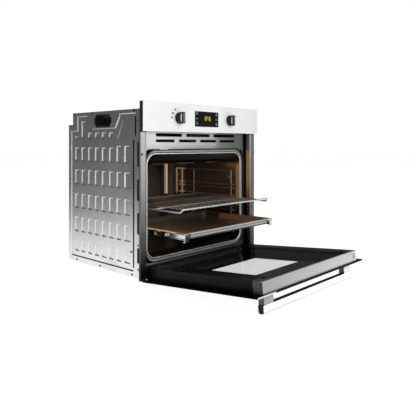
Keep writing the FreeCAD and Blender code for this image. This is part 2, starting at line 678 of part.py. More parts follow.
def fan_motor():
    front = CAVITY_BACK_Y + LINER
    plate = cyl(V(0, front, FAN_Z), V(0, 1, 0), 36.0, 2.0)
    core = box((-30.0, 30.0), (front + 20.0, front + 48.0), (FAN_Z - 28.0, FAN_Z + 28.0))
    cans = cyl(V(0, front + 10.0, FAN_Z), V(0, 1, 0), 22.0, 50.0)
    legs = [
        cyl(V(x, front + 1.0, FAN_Z + z), V(0, 1, 0), 3.0, 24.0) for x in (-24.0, 24.0) for z in (-20.0, 20.0)
    ]
    bore = cyl(V(0, front - 1.0, FAN_Z), V(0, 1, 0), 4.0 + RUNNING_GAP, 60.0)
    return fuse([plate, core, cans] + legs).cut(bore)


def ring_element():
    y = CAVITY_BACK_Y - 14.0
    end = 40.0
    drop = math.sqrt(RING_RADIUS ** 2 - end ** 2)
    arc = Part.Arc(V(end, y, FAN_Z - drop), V(0, y, FAN_Z + RING_RADIUS), V(-end, y, FAN_Z - drop))
    tangent = V(drop, 0, end).normalize()
    ring = Part.Wire(Part.Circle(V(end, y, FAN_Z - drop), tangent, ELEMENT_R).toShape())
    loop = Part.Wire(arc.toShape()).makePipeShell([ring], True, True)
    joints = []
    for x in (-end, end):
        joints.append(Part.makeSphere(ELEMENT_R + 0.4, V(x, y, FAN_Z - drop)))
        joints.append(rod(V(x, y, FAN_Z - drop), V(x, y, FAN_Z - RING_RADIUS), ELEMENT_R))
        joints.append(Part.makeSphere(ELEMENT_R, V(x, y, FAN_Z - RING_RADIUS)))
        joints.append(rod(V(x, y, FAN_Z - RING_RADIUS), V(x, CAVITY_BACK_Y + 20.0, FAN_Z - RING_RADIUS), ELEMENT_R))
    return fuse([loop] + joints)


def grill_element():
    """Folded heating rod under the roof, its two legs through the back wall."""
    front = 96.0
    rows = [(30.0, CAVITY_BACK_Y + 20.0), (30.0, 380.0), (170.0, 380.0), (170.0, front), (110.0, front),
            (110.0, 330.0), (50.0, 330.0), (50.0, front), (-50.0, front), (-50.0, 330.0), (-110.0, 330.0),
            (-110.0, front), (-170.0, front), (-170.0, 380.0), (-30.0, 380.0), (-30.0, CAVITY_BACK_Y + 20.0)]
    return bent_rod([V(x, y, GRILL_Z) for x, y in rows], ELEMENT_R, 14.0)


def bottom_element():
    """Heating rod under the cavity floor."""
    z = CAVITY_Z[0] - 12.0
    rows = [(30.0, 430.0), (30.0, 380.0), (180.0, 380.0), (180.0, 110.0), (-180.0, 110.0), (-180.0, 380.0),
            (-30.0, 380.0), (-30.0, 430.0)]
    return bent_rod([V(x, y, z) for x, y in rows], ELEMENT_R, 24.0)


def lamp_parts():
    x, z = LAMP
    back = CAVITY_BACK_Y
    axis = V(0, 1, 0)
    socket = cyl(V(x, back + LINER, z), axis, 26.0, 3.0)
    socket = fuse([socket, cyl(V(x, back + 3.0, z), axis, 20.0, 22.0)])
    socket = socket.cut(cyl(V(x, back - 1.0, z), axis, 15.0, 18.0))
    bulb = fuse([cyl(V(x, back + 6.0, z), axis, 7.0, 11.0), Part.makeSphere(11.0, V(x, back + 1.0, z))])
    centre = V(x, back + 12.0, z)
    dome = Part.makeSphere(29.5, centre).cut(Part.makeSphere(26.5, centre))
    dome = dome.common(box((x - 40.0, x + 40.0), (back - 40.0, back - 0.3), (z - 40.0, z + 40.0)))
    return socket, bulb, dome


def temperature_probe():
    x, z = PROBE
    tip = V(x, CAVITY_BACK_Y - 58.0, z)
    return fuse([cyl(tip, V(0, 1, 0), 1.8, 74.0), Part.makeSphere(1.8, tip)])


# ---- racks and rails ----
def side_rack():
    """Wire ladder on the right wall: uprights by the wall, paired runners in front of them."""
    front_rods = RACK_RODS_Y[:2]
    rods = [rod(V(RACK_X, y, RACK_Z[0]), V(RACK_X, y, RACK_Z[1]), ROD) for y in front_rods]
    rods += [box((RACK_X - 1.5, RACK_X + 1.5), (y - 4.5, y + 4.5), RACK_Z) for y in RACK_RODS_Y[2:]]
    for z in RACK_Z:
        rods.append(rod(V(RACK_X, RACK_RODS_Y[0], z), V(RACK_X, RACK_RODS_Y[-1], z), ROD))
        rods += [Part.makeSphere(ROD, V(RACK_X, y, z)) for y in (RACK_RODS_Y[0], RACK_RODS_Y[-1])]
    start = RACK_RODS_Y[0] - 16.0
    end = RACK_RODS_Y[2] + 14.0
    for low in RUNNER_LOW_Z:
        high = low + RUNNER_GAP
        for z in (low, high):
            rods.append(rod(V(RUNNER_X + 0.4, start, z), V(RUNNER_X + 0.4, end, z), ROD))
            rods += [Part.makeSphere(ROD, V(RUNNER_X + 0.4, y, z)) for y in (start, end)]
    return fuse(rods)


def rack_screws():
    screws = []
    for y in RACK_SCREWS_Y:
        for z in RACK_SCREWS_Z:
            stem = cyl(V(CAVITY_X - 8.0, y, z), V(1, 0, 0), 3.0, 12.0)
            head = cyl(V(CAVITY_X - 10.0, y, z), V(1, 0, 0), 6.0, 4.0)
            screw = fuse([stem, head])
            screws += [screw, mirrored(screw)]
    return Part.makeCompound(screws)


def rail_fixed():
    y = (RAIL_BACK_Y - RAIL_LENGTH, RAIL_BACK_Y)
    web = box((226.4, 227.6), y, (141.0, 157.0))
    lips = [box((221.0, 227.6), y, z) for z in ((141.0, 142.2), (155.8, 157.0))]
    return fuse([web] + lips)


def rail_middle():
    shift = TRAY_PULL / 2.0
    y = (RAIL_BACK_Y - RAIL_LENGTH - shift, RAIL_BACK_Y - shift)
    core = box((216.6, 226.0), y, (146.0, 152.0))
    heads = [box(x, y, (143.4, 154.6)) for x in ((216.6, 219.6), (222.4, 226.0))]
    return fuse([core] + heads)


def rail_slider():
    y = (RAIL_BACK_Y - RAIL_LENGTH - TRAY_PULL, RAIL_BACK_Y - TRAY_PULL)
    web = box((214.8, 216.0), y, (141.0, TRAY_TOP_Z - 1.4))
    lips = [
        box((214.8, 220.4), y, (141.0, 142.2)),
        box((214.8, 220.4), y, (155.8, 157.0)),
    ]
    front = TRAY_FRONT_Y
    hook = box((214.8, 230.0), (front - 3.2, front - 1.4), (137.0, TRAY_TOP_Z + 1.6))
    toe = box((222.0, 230.0), (front - 3.2, front + 6.0), (136.0, 138.0))
    bridge = box((214.8, 216.0), (front - 3.2, y[0] + 2.0), (141.0, 157.0))
    catch = box((214.8, 226.0), (y[1] - 3.0, y[1]), (157.0, TRAY_TOP_Z - 1.4))
    return fuse([web, hook, toe, bridge, catch] + lips)


def wire_shelf():
    back = SHELF_FRONT_Y + SHELF_DEPTH
    rail_y = SHELF_FRONT_Y - 9.0
    rail_z = SHELF_Z + 10.0
    rail_half = SHELF_HALF - 6.0
    wire_r = 1.4
    rods = []
    for side in (-1.0, 1.0):
        foot = V(side * SHELF_HALF, SHELF_FRONT_Y, SHELF_Z)
        rods.append(rod(foot, V(side * SHELF_HALF, back, SHELF_Z), 3.0))
        rods.append(Part.makeSphere(3.0, foot))
        rods.append(rod(foot, V(side * rail_half, rail_y, rail_z), 3.0))
        rods.append(Part.makeSphere(3.05, V(side * rail_half, rail_y, rail_z)))
        rods.append(rod(V(side * SHELF_HALF, back, SHELF_Z), V(side * rail_half, back, rail_z - 1.0), 3.0))
        rods.append(Part.makeSphere(3.05, V(side * SHELF_HALF, back, SHELF_Z)))
        rods.append(Part.makeSphere(3.05, V(side * rail_half, back, rail_z - 1.0)))
    rods.append(rod(V(-rail_half, rail_y, rail_z), V(rail_half, rail_y, rail_z), 3.0))
    rods.append(rod(V(-rail_half, back, rail_z - 1.0), V(rail_half, back, rail_z - 1.0), 3.0))
    for y in (SHELF_FRONT_Y + 120.0, SHELF_FRONT_Y + 244.0):
        rods.append(rod(V(-SHELF_HALF, y, SHELF_Z + 2.9), V(SHELF_HALF, y, SHELF_Z + 2.9), 3.0))
    count = 21
    pitch = 2.0 * rail_half / (count + 1)
    for index in range(count):
        x = -rail_half + pitch * (index + 1)
        rods.append(rod(V(x, rail_y, SHELF_Z + 6.8), V(x, back, SHELF_Z + 6.8), wire_r))
    return fuse(rods)


def drip_tray():
    y = (TRAY_FRONT_Y, TRAY_FRONT_Y + TRAY_DEPTH)
    bowl_half = TRAY_HALF - 15.8
    gauge = 1.2
    top = TRAY_TOP_Z
    bowl_y = (y[0] + 10.0, y[1] - 8.0)
    outer = prism("z", (-bowl_half, bowl_half), bowl_y, 22.0, (TRAY_FLOOR_Z, top))
    inner = prism("z", (-bowl_half + gauge, bowl_half - gauge), (bowl_y[0] + gauge, bowl_y[1] - gauge), 20.8,
                  (TRAY_FLOOR_Z + gauge, top + 1.0))
    rim = prism("z", (-TRAY_HALF, TRAY_HALF), y, 10.0, (top - gauge, top))
    edge = frame("z", (-TRAY_HALF, TRAY_HALF), y, 10.0, (top - gauge, top + 1.2), gauge)
    lip = box((-202.0, 202.0), (y[0], y[0] + gauge), (TRAY_FLOOR_Z + 1.0, top))
    bead = box((-202.0, 202.0), (y[0] - 0.9, y[0] + gauge), (TRAY_FLOOR_Z + 1.0, TRAY_FLOOR_Z + 4.0))
    return fuse([outer, rim, edge, lip, bead]).cut(inner)


# ---- cooling fan and connection ----
def cooling_duct():
    chute = box((-214.0, 214.0), (RECESS_Y + 2.0, 232.0), (456.0, 494.0))
    chute_hollow = box((-212.8, 212.8), (RECESS_Y, 240.0), (457.2, 492.8))
    house = box((-122.0, 122.0), (230.0, 312.0), (446.0, 514.0))
    house_hollow = box((-120.8, 120.8), (231.2, 310.8), (447.2, 512.8))
    inlet = box((-105.0, 105.0), (245.0, 300.0), (510.0, 516.0))
    port = box((-120.8, 120.8), (225.0, 235.0), (457.2, 492.8))
    shaft_hole = cyl(V(118.0, 271.0, 480.0), V(1, 0, 0), 6.0, 8.0)
    return cut(fuse([chute, house]), [chute_hollow, house_hollow, inlet, port, shaft_hole])


def cooling_impeller():
    axis = V(1, 0, 0)
    start = V(-108.0, 271.0, 480.0)
    discs = [cyl(start + V(step, 0, 0), axis, 28.0, 1.5) for step in (0.0, 105.0, 210.0)]
    blades = []
    for index in range(18):
        blade = box((-108.0, 103.5), (270.5, 271.5), (480.0 + 20.0, 480.0 + 27.6))
        blade.rotate(V(0, 271.0, 504.0), axis, 30.0)
        blade.rotate(V(0, 271.0, 480.0), axis, 20.0 * index)
        blades.append(blade)
    spindle = cyl(V(100.0, 271.0, 480.0), axis, 3.0, 60.0)
    return fuse(discs + blades + [spindle])


def cooling_motor():
    axis = V(1, 0, 0)
    start = V(123.0, 271.0, 480.0)
    can = cyl(start, axis, 26.0, 30.0)
    core = box((128.0, 150.0), (235.0, 307.0), (462.0, 498.0))
    bore = cyl(start - V(2.0, 0, 0), axis, 3.0 + RUNNING_GAP, 45.0)
    return fuse([can, core]).cut(bore)


def terminal_block():
    base = prism("x", (STEP_BACK_Y, STEP_BACK_Y + 20.0), (533.0, 561.0), 3.0, (-240.0, -176.0))
    ports = [cyl(V(x, STEP_BACK_Y + 8.0, 547.0), V(0, 1, 0), 5.0, 20.0) for x in (-228.0, -208.0, -188.0)]
    return cut(base, ports)


def body_screws():
    """Pan-head screws: down each side's front edge and round the rear fan cover."""
    screws = []
    for y, z in ((36.6, 29.5), (36.6, 111.0), (36.6, 531.0)):
        head = Part.makeSphere(4.6, V(-SIDE_X + 2.6, y, z))
        head = head.common(box((-SIDE_X - 4.0, -SIDE_X), (y - 5.0, y + 5.0), (z - 5.0, z + 5.0)))
        screws += [head, mirrored(head)]
    for x in (-156.5, 156.5):
        for z in (120.0, 230.0, 340.0):
            screws.append(cyl(V(x, BODY_BACK_Y + 1.0, z), V(0, 1, 0), 3.6, 2.0))
    return Part.makeCompound(screws)


# ---- door ----
def door_glass(half, s, t, radius):
    """Pane of the open door."""
    pane = prism("y", (-half, half), (DOOR_BASE_Z + s[0], DOOR_BASE_Z + s[1]), radius,
                 (DOOR_PLANE_Y - t[1], DOOR_PLANE_Y - t[0]))
    return opened(pane)


def door_column():
    """Right-hand side column: a hollow profile open towards the outer pane."""
    inner_t = COLUMN_INNER_T
    outer_t = GLASS_OUTER_T - GLASS
    x0, x1 = COLUMN_X
    body = door_box(COLUMN_X, COLUMN_S, (inner_t, outer_t))
    wall = 3.0
    hollow = door_box((x0 + wall, x1 - wall), (COLUMN_S[0] + wall, COLUMN_S[1] - wall),
                      (inner_t + wall, outer_t + 1.0))
    groove = door_box((x1 - 1.2, x1 + 1.0), (COLUMN_S[0] - 1.0, COLUMN_S[1] + 1.0), (-11.0, -6.0))
    arm_slot = door_box((ARM_X[0] - 4.2, ARM_X[1] + 4.2), (0.0, 20.0), (inner_t - 1.0, outer_t + 1.0))
    half, s, t = MIDDLE_PANE
    pane_seat = door_box((x0 - 1.0, half + 0.2), (s[0] - 0.2, s[1] + 0.2), (t[0] - 0.2, t[1] + 0.2))
    ribs = [
        door_box((x1 - 0.2, x1 + 0.9), (370.0 + 7.0 * index, 372.5 + 7.0 * index), (-3.0, outer_t - 2.0))
        for index in range(11)
    ]
    return opened(cut(fuse([body] + ribs), [hollow, groove, arm_slot, pane_seat]))


def door_top_trim():
    """Steel channel across the top of the door, with a short lip over the inner pane."""
    half = COLUMN_X[1]
    t = (COLUMN_INNER_T + 0.5, GLASS_OUTER_T - GLASS)
    face = door_box((-half, half), (TRIM_S - SHEET, TRIM_S), t)
    lip = door_box((-half, half), (TRIM_S - 8.0, TRIM_S), (t[0], t[0] + SHEET))
    back = door_box((-half, half), (TRIM_S - 30.0, TRIM_S), (t[1] - SHEET, t[1]))
    slot = door_box((245.6, 247.6), (TRIM_S - 3.0, TRIM_S + 1.0), (-10.5, 4.0))
    trim = fuse([face, lip, back]).cut(slot)
    return opened(trim)


def door_corner_caps():
    """Moulded corner pieces that close the ends of the top trim."""
    x1 = COLUMN_X[1]
    t = (COLUMN_INNER_T, GLASS_OUTER_T - GLASS - SHEET)
    body = door_box((x1 - 32.0, x1), (COLUMN_S[1] + 0.2, TRIM_S - 8.2), t)
    tongue = door_box((x1 - 30.0, x1 - 1.5), (TRIM_S - 8.4, TRIM_S - SHEET), (t[0] + 2.0, t[1] - 1.0))
    half, s, pane_t = MIDDLE_PANE
    clear = door_box((0.0, half + 0.2), (0.0, s[1] + 0.2), (pane_t[0] - 0.2, pane_t[1] + 0.2))
    return opened(both_sides(fuse([body, tongue]).cut(clear)))


def handle_bar():
    bar = door_box((-HANDLE_HALF, HANDLE_HALF), HANDLE_S, HANDLE_T)
    front = DOOR_PLANE_Y - HANDLE_T[1]
    long_edges = [e for e in bar.Edges
                  if abs(e.BoundBox.YMin - front) < 1e-3 and abs(e.BoundBox.YMax - front) < 1e-3
                  and e.BoundBox.XLength > 10.0]
    return opened(bar.makeFillet(8.0, long_edges))


def handle_posts():
    post = door_box(POST_X, (HANDLE_S[0] + 0.5, HANDLE_S[1] - 0.5), (GLASS_OUTER_T, HANDLE_T[0]))
    return opened(both_sides(post))


def hinge_arms():
    """Fixed arms that hook into the body, each with the pivot pin the door turns on."""
    y, z = PIVOT.y, PIVOT.z
    eye = cyl(V(ARM_X[0], y, z), V(1, 0, 0), EYE_RADIUS, ARM_X[1] - ARM_X[0])
    reach = polygon_prism("x", [(y, z - 2.6), (y, z + 3.4), (36.0, 14.0), (88.0, 18.0), (88.0, 6.0), (36.0, 5.0)],
                          ARM_X)
    claw = box(ARM_X, (52.0, 60.0), (10.0, 24.0))
    pin = cyl(V(ARM_X[0] - 2.7, y, z), V(1, 0, 0), PIN_RADIUS, ARM_X[1] - ARM_X[0] + 5.4)
    return both_sides(fuse([eye, reach, claw, pin]))


def hinge_receivers():
    x = (ARM_X[0] - 4.0, ARM_X[1] + 4.0)
    y = (RECESS_Y + SHEET + 14.5, 96.0)
    z = (SHEET, 34.0)
    walls = [box((x[0], x[0] + 1.5), y, z), box((x[1] - 1.5, x[1]), y, z)]
    floor = box(x, y, (z[0], z[0] + 1.5))
    bridge = box(x, (62.0, 66.0), (22.0, 26.0))
    return both_sides(fuse(walls + [floor, bridge]))


def hinge_cassettes():
    """Folded hinge housings inside the columns, whose ears carry the pivot pins."""
    y, z = PIVOT.y, PIVOT.z
    t = (-9.0, 8.0)
    s = (22.0, 200.0)
    gap = ARM_X[0] - 2.7
    outer = ARM_X[1] + 2.7
    back = door_box((gap, outer), s, (t[1] - 1.5, t[1]))
    walls = [door_box(x, s, t) for x in ((gap, gap + 2.0), (outer - 2.0, outer))]
    ears = []
    for x in (gap, outer - 2.0):
        plate = polygon_prism(
            "x",
            [(y - 3.4, z), (y + 3.4, z), (DOOR_PLANE_Y - t[0], DOOR_BASE_Z + s[0] + 1.0),
             (DOOR_PLANE_Y - t[1], DOOR_BASE_Z + s[0] + 1.0)],
            (x, x + 2.0),
        )
        ears.append(fuse([plate, cyl(V(x, y, z), V(1, 0, 0), 3.6, 2.0)]))
    bore = cyl(V(gap - 1.0, y, z), V(1, 0, 0), PIN_RADIUS + RUNNING_GAP, outer - gap + 2.0)
    return opened(both_sides(fuse([back] + walls + ears).cut(bore)))


def main():
    os.makedirs("parts", exist_ok=True)
    left = side_panel()
    save("side_panel_left", left)
    save("side_panel_right", mirrored(left))
    save("top_cover", top_cover())
    save("base_plate", base_plate())
    save("rear_panel", rear_panel())
    save("rear_fan_cover", rear_fan_cover())
    save("front_frame", front_frame())
    save("control_facia", control_facia())
    save("facia_end_caps", facia_end_caps())
    save("control_carrier", control_carrier())
    save("display_window", window_box(0.0))
    save("control_board", control_board())
    save("function_knob", knob(FUNCTION_KNOB_X))
    save("function_shaft", shaft(FUNCTION_KNOB_X))
    save("function_switch", rotary_switch(FUNCTION_KNOB_X, 26.0))
    save("temperature_knob", knob(TEMPERATURE_KNOB_X))
    save("temperature_shaft", shaft(TEMPERATURE_KNOB_X))
    save("temperature_switch", rotary_switch(TEMPERATURE_KNOB_X, 20.0))
    save("cavity_liner", cavity_liner())
    save("mouth_ring", mouth_ring())
    save("door_gasket", door_gasket())
    save("insulation_blanket", insulation_blanket())
    save("fan_baffle", fan_baffle())
    save("fan_impeller", fan_impeller())
    save("fan_motor", fan_motor())
    save("ring_element", ring_element())
    save("grill_element", grill_element())
    save("bottom_element", bottom_element())
    socket, bulb, dome = lamp_parts()
    save("lamp_holder", socket)
    save("lamp_bulb", bulb)
    save("lamp_glass", dome)
    save("temperature_probe", temperature_probe())
    rack = side_rack()
    save("side_rack_right", rack)
    save("side_rack_left", mirrored(rack))
    save("rack_screws", rack_screws())
    for name, rail in (("rail_fixed", rail_fixed()), ("rail_middle", rail_middle()), ("rail_slider", rail_slider())):
        save(name + "_right", rail)
        save(name + "_left", mirrored(rail))
    save("wire_shelf", wire_shelf())
    save("drip_tray", drip_tray())
    save("cooling_duct", cooling_duct())
    save("cooling_impeller", cooling_impeller())
    save("cooling_motor", cooling_motor())
    save("terminal_block", terminal_block())
    save("body_screws", body_screws())
    save("outer_glass", door_glass(WIDTH / 2.0, DOOR_S, (GLASS_OUTER_T - GLASS, GLASS_OUTER_T), 3.0))
    save("middle_glass", door_glass(*MIDDLE_PANE, 4.0))
    save("inner_glass", door_glass(*INNER_PANE, 4.0))
    column = door_column()
    save("door_column_right", column)
    save("door_column_left", mirrored(column))
    save("door_top_trim", door_top_trim())
    save("door_corner_caps", door_corner_caps())
    save("handle_bar", handle_bar())
    save("handle_posts", handle_posts())
    save("hinge_arms", hinge_arms())
    save("hinge_receivers", hinge_receivers())
    save("hinge_cassettes", hinge_cassettes())


main()
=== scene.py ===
import math

import bpy
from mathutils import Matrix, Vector


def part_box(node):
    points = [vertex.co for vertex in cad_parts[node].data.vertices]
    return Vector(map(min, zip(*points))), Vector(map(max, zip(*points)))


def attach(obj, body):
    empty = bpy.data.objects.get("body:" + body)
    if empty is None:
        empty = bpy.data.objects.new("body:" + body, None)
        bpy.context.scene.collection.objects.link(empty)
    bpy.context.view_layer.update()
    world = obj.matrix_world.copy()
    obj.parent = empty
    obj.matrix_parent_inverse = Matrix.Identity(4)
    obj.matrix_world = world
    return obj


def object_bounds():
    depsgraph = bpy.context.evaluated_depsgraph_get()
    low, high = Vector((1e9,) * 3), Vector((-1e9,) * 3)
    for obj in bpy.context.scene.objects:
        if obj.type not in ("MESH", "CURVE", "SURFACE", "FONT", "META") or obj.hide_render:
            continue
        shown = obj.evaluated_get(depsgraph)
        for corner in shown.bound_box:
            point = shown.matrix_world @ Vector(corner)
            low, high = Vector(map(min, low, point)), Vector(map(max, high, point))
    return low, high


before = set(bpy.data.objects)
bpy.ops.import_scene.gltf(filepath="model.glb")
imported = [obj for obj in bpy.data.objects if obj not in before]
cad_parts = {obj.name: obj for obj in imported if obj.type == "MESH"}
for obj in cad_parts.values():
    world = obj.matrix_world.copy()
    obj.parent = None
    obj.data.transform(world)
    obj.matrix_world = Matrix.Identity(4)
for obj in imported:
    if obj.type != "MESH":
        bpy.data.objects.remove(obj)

# Built-in wall oven with its door open. Metres; +X right seen from the front, +Y into the cabinet, +Z up.

CAD_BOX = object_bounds()
MM = 0.001
BODY = "oven_body"

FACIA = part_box("control_facia")
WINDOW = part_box("display_window")
KNOBS = {"function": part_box("function_knob"), "temperature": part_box("temperature_knob")}
DOOR_TILT = math.radians(5.0)          # the open door stops this much above level
CONTROL_Z = 0.5 * (KNOBS["function"][0][2] + KNOBS["function"][1][2])


def knob_centre(name):
    low, high = KNOBS[name]
    return 0.5 * (low[0] + high[0])


def grey(level):
    return (level, level, level)


# ---- materials ----
class Surface:
    """One procedural material, built on Blender's Principled shader."""

    def __init__(self, name, colour, roughness, metallic=0.0):
        self.material = bpy.data.materials.new(name)
        self.material.use_nodes = True
        self.tree = self.material.node_tree
        self.shader = self.tree.nodes["Principled BSDF"]
        self.coords = self.tree.nodes.new("ShaderNodeTexCoord").outputs["Object"]
        self.set(**{"Base Color": (*colour, 1.0), "Roughness": roughness, "Metallic": metallic})

    def set(self, **values):
        for socket, value in values.items():
            self.shader.inputs[socket].default_value = value
        return self

    def coat(self, weight, roughness):
        return self.set(**{"Coat Weight": weight, "Coat Roughness": roughness, "Coat IOR": 1.5})

    def link(self, source, target):
        self.tree.links.new(source, target)

    def stretched(self, stretch):
        mapping = self.tree.nodes.new("ShaderNodeMapping")
        mapping.inputs["Scale"].default_value = stretch
        self.link(self.coords, mapping.inputs["Vector"])
        return mapping.outputs["Vector"]

    def noise(self, scale, detail, stretch=(1.0, 1.0, 1.0)):
        node = self.tree.nodes.new("ShaderNodeTexNoise")
        node.inputs["Scale"].default_value = scale
        node.inputs["Detail"].default_value = detail
        self.link(self.stretched(stretch), node.inputs["Vector"])
        return node.outputs["Fac"]

    def cells(self, scale, output="Color"):
        node = self.tree.nodes.new("ShaderNodeTexVoronoi")
        node.inputs["Scale"].default_value = scale
        self.link(self.coords, node.inputs["Vector"])
        return node.outputs[output]

    def ramp(self, factor, stops):
        """Colour ramp; stops are (position, colour or grey)."""
        node = self.tree.nodes.new("ShaderNodeValToRGB")
        elements = node.color_ramp.elements
        while len(elements) < len(stops):
            elements.new(0.5)
        for element, (position, colour) in zip(elements, stops):
            element.position = position
            element.color = (*colour, 1.0) if isinstance(colour, tuple) else (colour, colour, colour, 1.0)
        self.link(factor, node.inputs["Fac"])
        return node.outputs["Color"]

    def blend(self, factor, first, second, mode="MIX"):
        node = self.tree.nodes.new("ShaderNodeMix")
        node.data_type = "RGBA"
        node.blend_type = mode
        inputs = [socket for socket in node.inputs if socket.enabled]
        for socket, value in zip(inputs, (factor, first, second)):
            if isinstance(value, bpy.types.NodeSocket):
                self.link(value, socket)
            elif isinstance(value, tuple):
                socket.default_value = (*value, 1.0)
            else:
                socket.default_value = value
        return next(socket for socket in node.outputs if socket.enabled)

    def vary_colour(self, factor, low, high):
        """Run the colour from low to high over the middle of the factor's range."""
        self.link(self.ramp(factor, [(0.35, low), (0.65, high)]), self.shader.inputs["Base Color"])

    def vary_roughness(self, factor, low, high):
        """Run the roughness from low to high over the middle of the factor's range."""
        self.link(self.ramp(factor, [(0.3, low), (0.7, high)]), self.shader.inputs["Roughness"])

    def bump(self, height, depth, strength):
        node = self.tree.nodes.new("ShaderNodeBump")
        node.inputs["Distance"].default_value = depth
        node.inputs["Strength"].default_value = strength
        self.link(height, node.inputs["Height"])
        self.link(node.outputs["Normal"], self.shader.inputs["Normal"])

    def maths(self, operation, *values):
        node = self.tree.nodes.new("ShaderNodeMath")
        node.operation = operation
        for socket, value in zip(node.inputs, values):
            if isinstance(value, bpy.types.NodeSocket):
                self.link(value, socket)
            else:
                socket.default_value = value
        return node.outputs[0]

    def place(self, axis):
        """Coordinate along one axis of the row frame at rest, in metres."""
        split = self.tree.nodes.new("ShaderNodeSeparateXYZ")
        self.link(self.coords, split.inputs["Vector"])
        return split.outputs[axis]

    def inside_box(self, x, y):
        """1 inside the X and Y ranges of the row frame, 0 outside, with corners left square."""
        masks = [
            self.maths("COMPARE", self.place(axis), 0.5 * (low + high), 0.5 * (high - low))
            for axis, (low, high) in (("X", x), ("Y", y))
        ]
        return self.maths("MULTIPLY", *masks)

    def along(self, axis, stops):
        """Ramp of the place along one axis; stops are (metres, level)."""
        low = stops[0][0]
        span = stops[-1][0] - low
        share = self.maths("DIVIDE", self.maths("SUBTRACT", self.place(axis), low), span)
        return self.ramp(share, [((at - low) / span, level) for at, level in stops])

    def zone(self, soft, **ranges):
        """1 inside the given range of each named axis, fading to 0 over the soft distance."""
        mask = 1.0
        for axis, (low, high) in ranges.items():
            stops = [(low - soft, 0.0), (low + soft, 1.0), (high - soft, 1.0), (high + soft, 0.0)]
            mask = self.maths("MULTIPLY", mask, self.along(axis, stops))
        return mask

    def rim_distance(self, half_x, z, radius):
        """Distance outwards from a rounded rectangle in X and Z, in metres."""
        middle = 0.5 * (z[0] + z[1])
        half_z = 0.5 * (z[1] - z[0])
        over = []
        for axis, centre, half in (("X", 0.0, half_x), ("Z", middle, half_z)):
            away = self.maths("ABSOLUTE", self.maths("SUBTRACT", self.place(axis), centre))
            over.append(self.maths("SUBTRACT", away, half - radius))
        inner = self.maths("MINIMUM", self.maths("MAXIMUM", *over), 0.0)
        squares = [self.maths("POWER", self.maths("MAXIMUM", value, 0.0), 2.0) for value in over]
        corner = self.maths("SQRT", self.maths("ADD", *squares))
        return self.maths("SUBTRACT", self.maths("ADD", inner, corner), radius)

    def colour_now(self, socket):
        """What feeds a colour socket: its link, or the plain colour set on it."""
        return socket.links[0].from_socket if socket.is_linked else tuple(socket.default_value)[:3]

    def shade(self, axis, stops):
        """Multiply the colour by a ramp along one axis."""
        socket = self.shader.inputs["Base Color"]
        self.link(self.blend(1.0, self.colour_now(socket), self.along(axis, stops), "MULTIPLY"), socket)

    def wash(self, mask, colour):
        """Blend the colour towards another where the mask is up."""
        socket = self.shader.inputs["Base Color"]
        self.link(self.blend(mask, self.colour_now(socket), colour), socket)

    def paint_light(self, mask, colour):
        """Paint light into the colour as a little emission where the mask is up: painted lamp light,
        highlights and glints.
        """
        socket = self.shader.inputs["Emission Color"]
        before = self.colour_now(socket) if socket.is_linked else (0.0, 0.0, 0.0)
        self.link(self.blend(mask, before, colour, "ADD"), socket)
        self.set(**{"Emission Strength": 1.0})


def galvanised(name, dark, light, roughness):
    """Zinc coated sheet: faint spangle, cloudy roughness and fine rolling marks."""
    surface = Surface(name, light, roughness, 1.0)
    spangle = surface.cells(70.0)
    clouds = surface.noise(9.0, 4.0)
    tone = surface.ramp(surface.noise(260.0, 2.0), [(0.3, dark), (0.7, light)])
    grey = surface.blend(0.10, tone, spangle, "SOFT_LIGHT")
    surface.link(grey, surface.shader.inputs["Base Color"])
    surface.vary_roughness(clouds, roughness - 0.05, roughness + 0.07)
    surface.bump(surface.noise(900.0, 2.0), 0.00006, 0.5)
    return surface


def brushed(name, dark, light, roughness, stretch):
    """Brushed steel whose lines run along the axis with the small stretch value."""
    surface = Surface(name, light, roughness, 1.0)
    lines = surface.noise(900.0, 3.0, stretch)
    surface.vary_colour(lines, dark, light)
    surface.vary_roughness(lines, roughness - 0.02, roughness + 0.04)
    return surface


def plated(name, colour, roughness):
    """Bright plated wire or rail with light handling marks."""
    surface = Surface(name, colour, roughness, 1.0)
    dull = tuple(0.82 * value for value in colour)
    surface.vary_colour(surface.noise(60.0, 3.0), dull, colour)
    surface.vary_roughness(surface.noise(40.0, 2.0), roughness - 0.03, roughness + 0.06)
    return surface


def enamel(name, dark, light, roughness, flecks):
    """Fired enamel: cloudy brown with some share of fine pale flecks under a glassy surface."""
    surface = Surface(name, light, roughness)
    clouds = surface.ramp(surface.noise(14.0, 4.0), [(0.3, dark), (0.7, light)])
    fleck = surface.ramp(surface.cells(420.0, "Distance"), [(0.0, 1.0), (0.16, 0.0)])
    mixed = surface.blend(flecks, clouds, surface.blend(fleck, clouds, (0.42, 0.36, 0.30)))
    surface.link(mixed, surface.shader.inputs["Base Color"])
    surface.vary_roughness(surface.noise(40.0, 3.0), roughness - 0.04, roughness + 0.08)
    surface.bump(surface.noise(30.0, 2.0), 0.00005, 0.3)
    return surface.coat(0.35, 0.16)


def moulded(name, dark, light, roughness, grain=1400.0, depth=0.00005):
    """Dull, finely grained surface: plastic, rubber, ceramic or blackened steel."""
    surface = Surface(name, light, roughness)
    surface.vary_colour(surface.noise(30.0, 3.0), dark, light)
    surface.vary_roughness(surface.noise(90.0, 3.0), roughness - 0.05, roughness + 0.07)
    surface.bump(surface.noise(grain, 2.0), depth, 0.5)
    return surface


def gloss_paint(name, dark, light, roughness):
    """Smooth painted or lacquered surface with the slight waviness of a real coat."""
    surface = Surface(name, light, roughness)
    surface.vary_colour(surface.noise(6.0, 2.0), dark, light)
    surface.vary_roughness(surface.noise(70.0, 3.0), roughness - 0.03, roughness + 0.05)
    surface.bump(surface.noise(180.0, 2.0), 0.00003, 0.4)
    return surface.coat(0.5, 0.06)


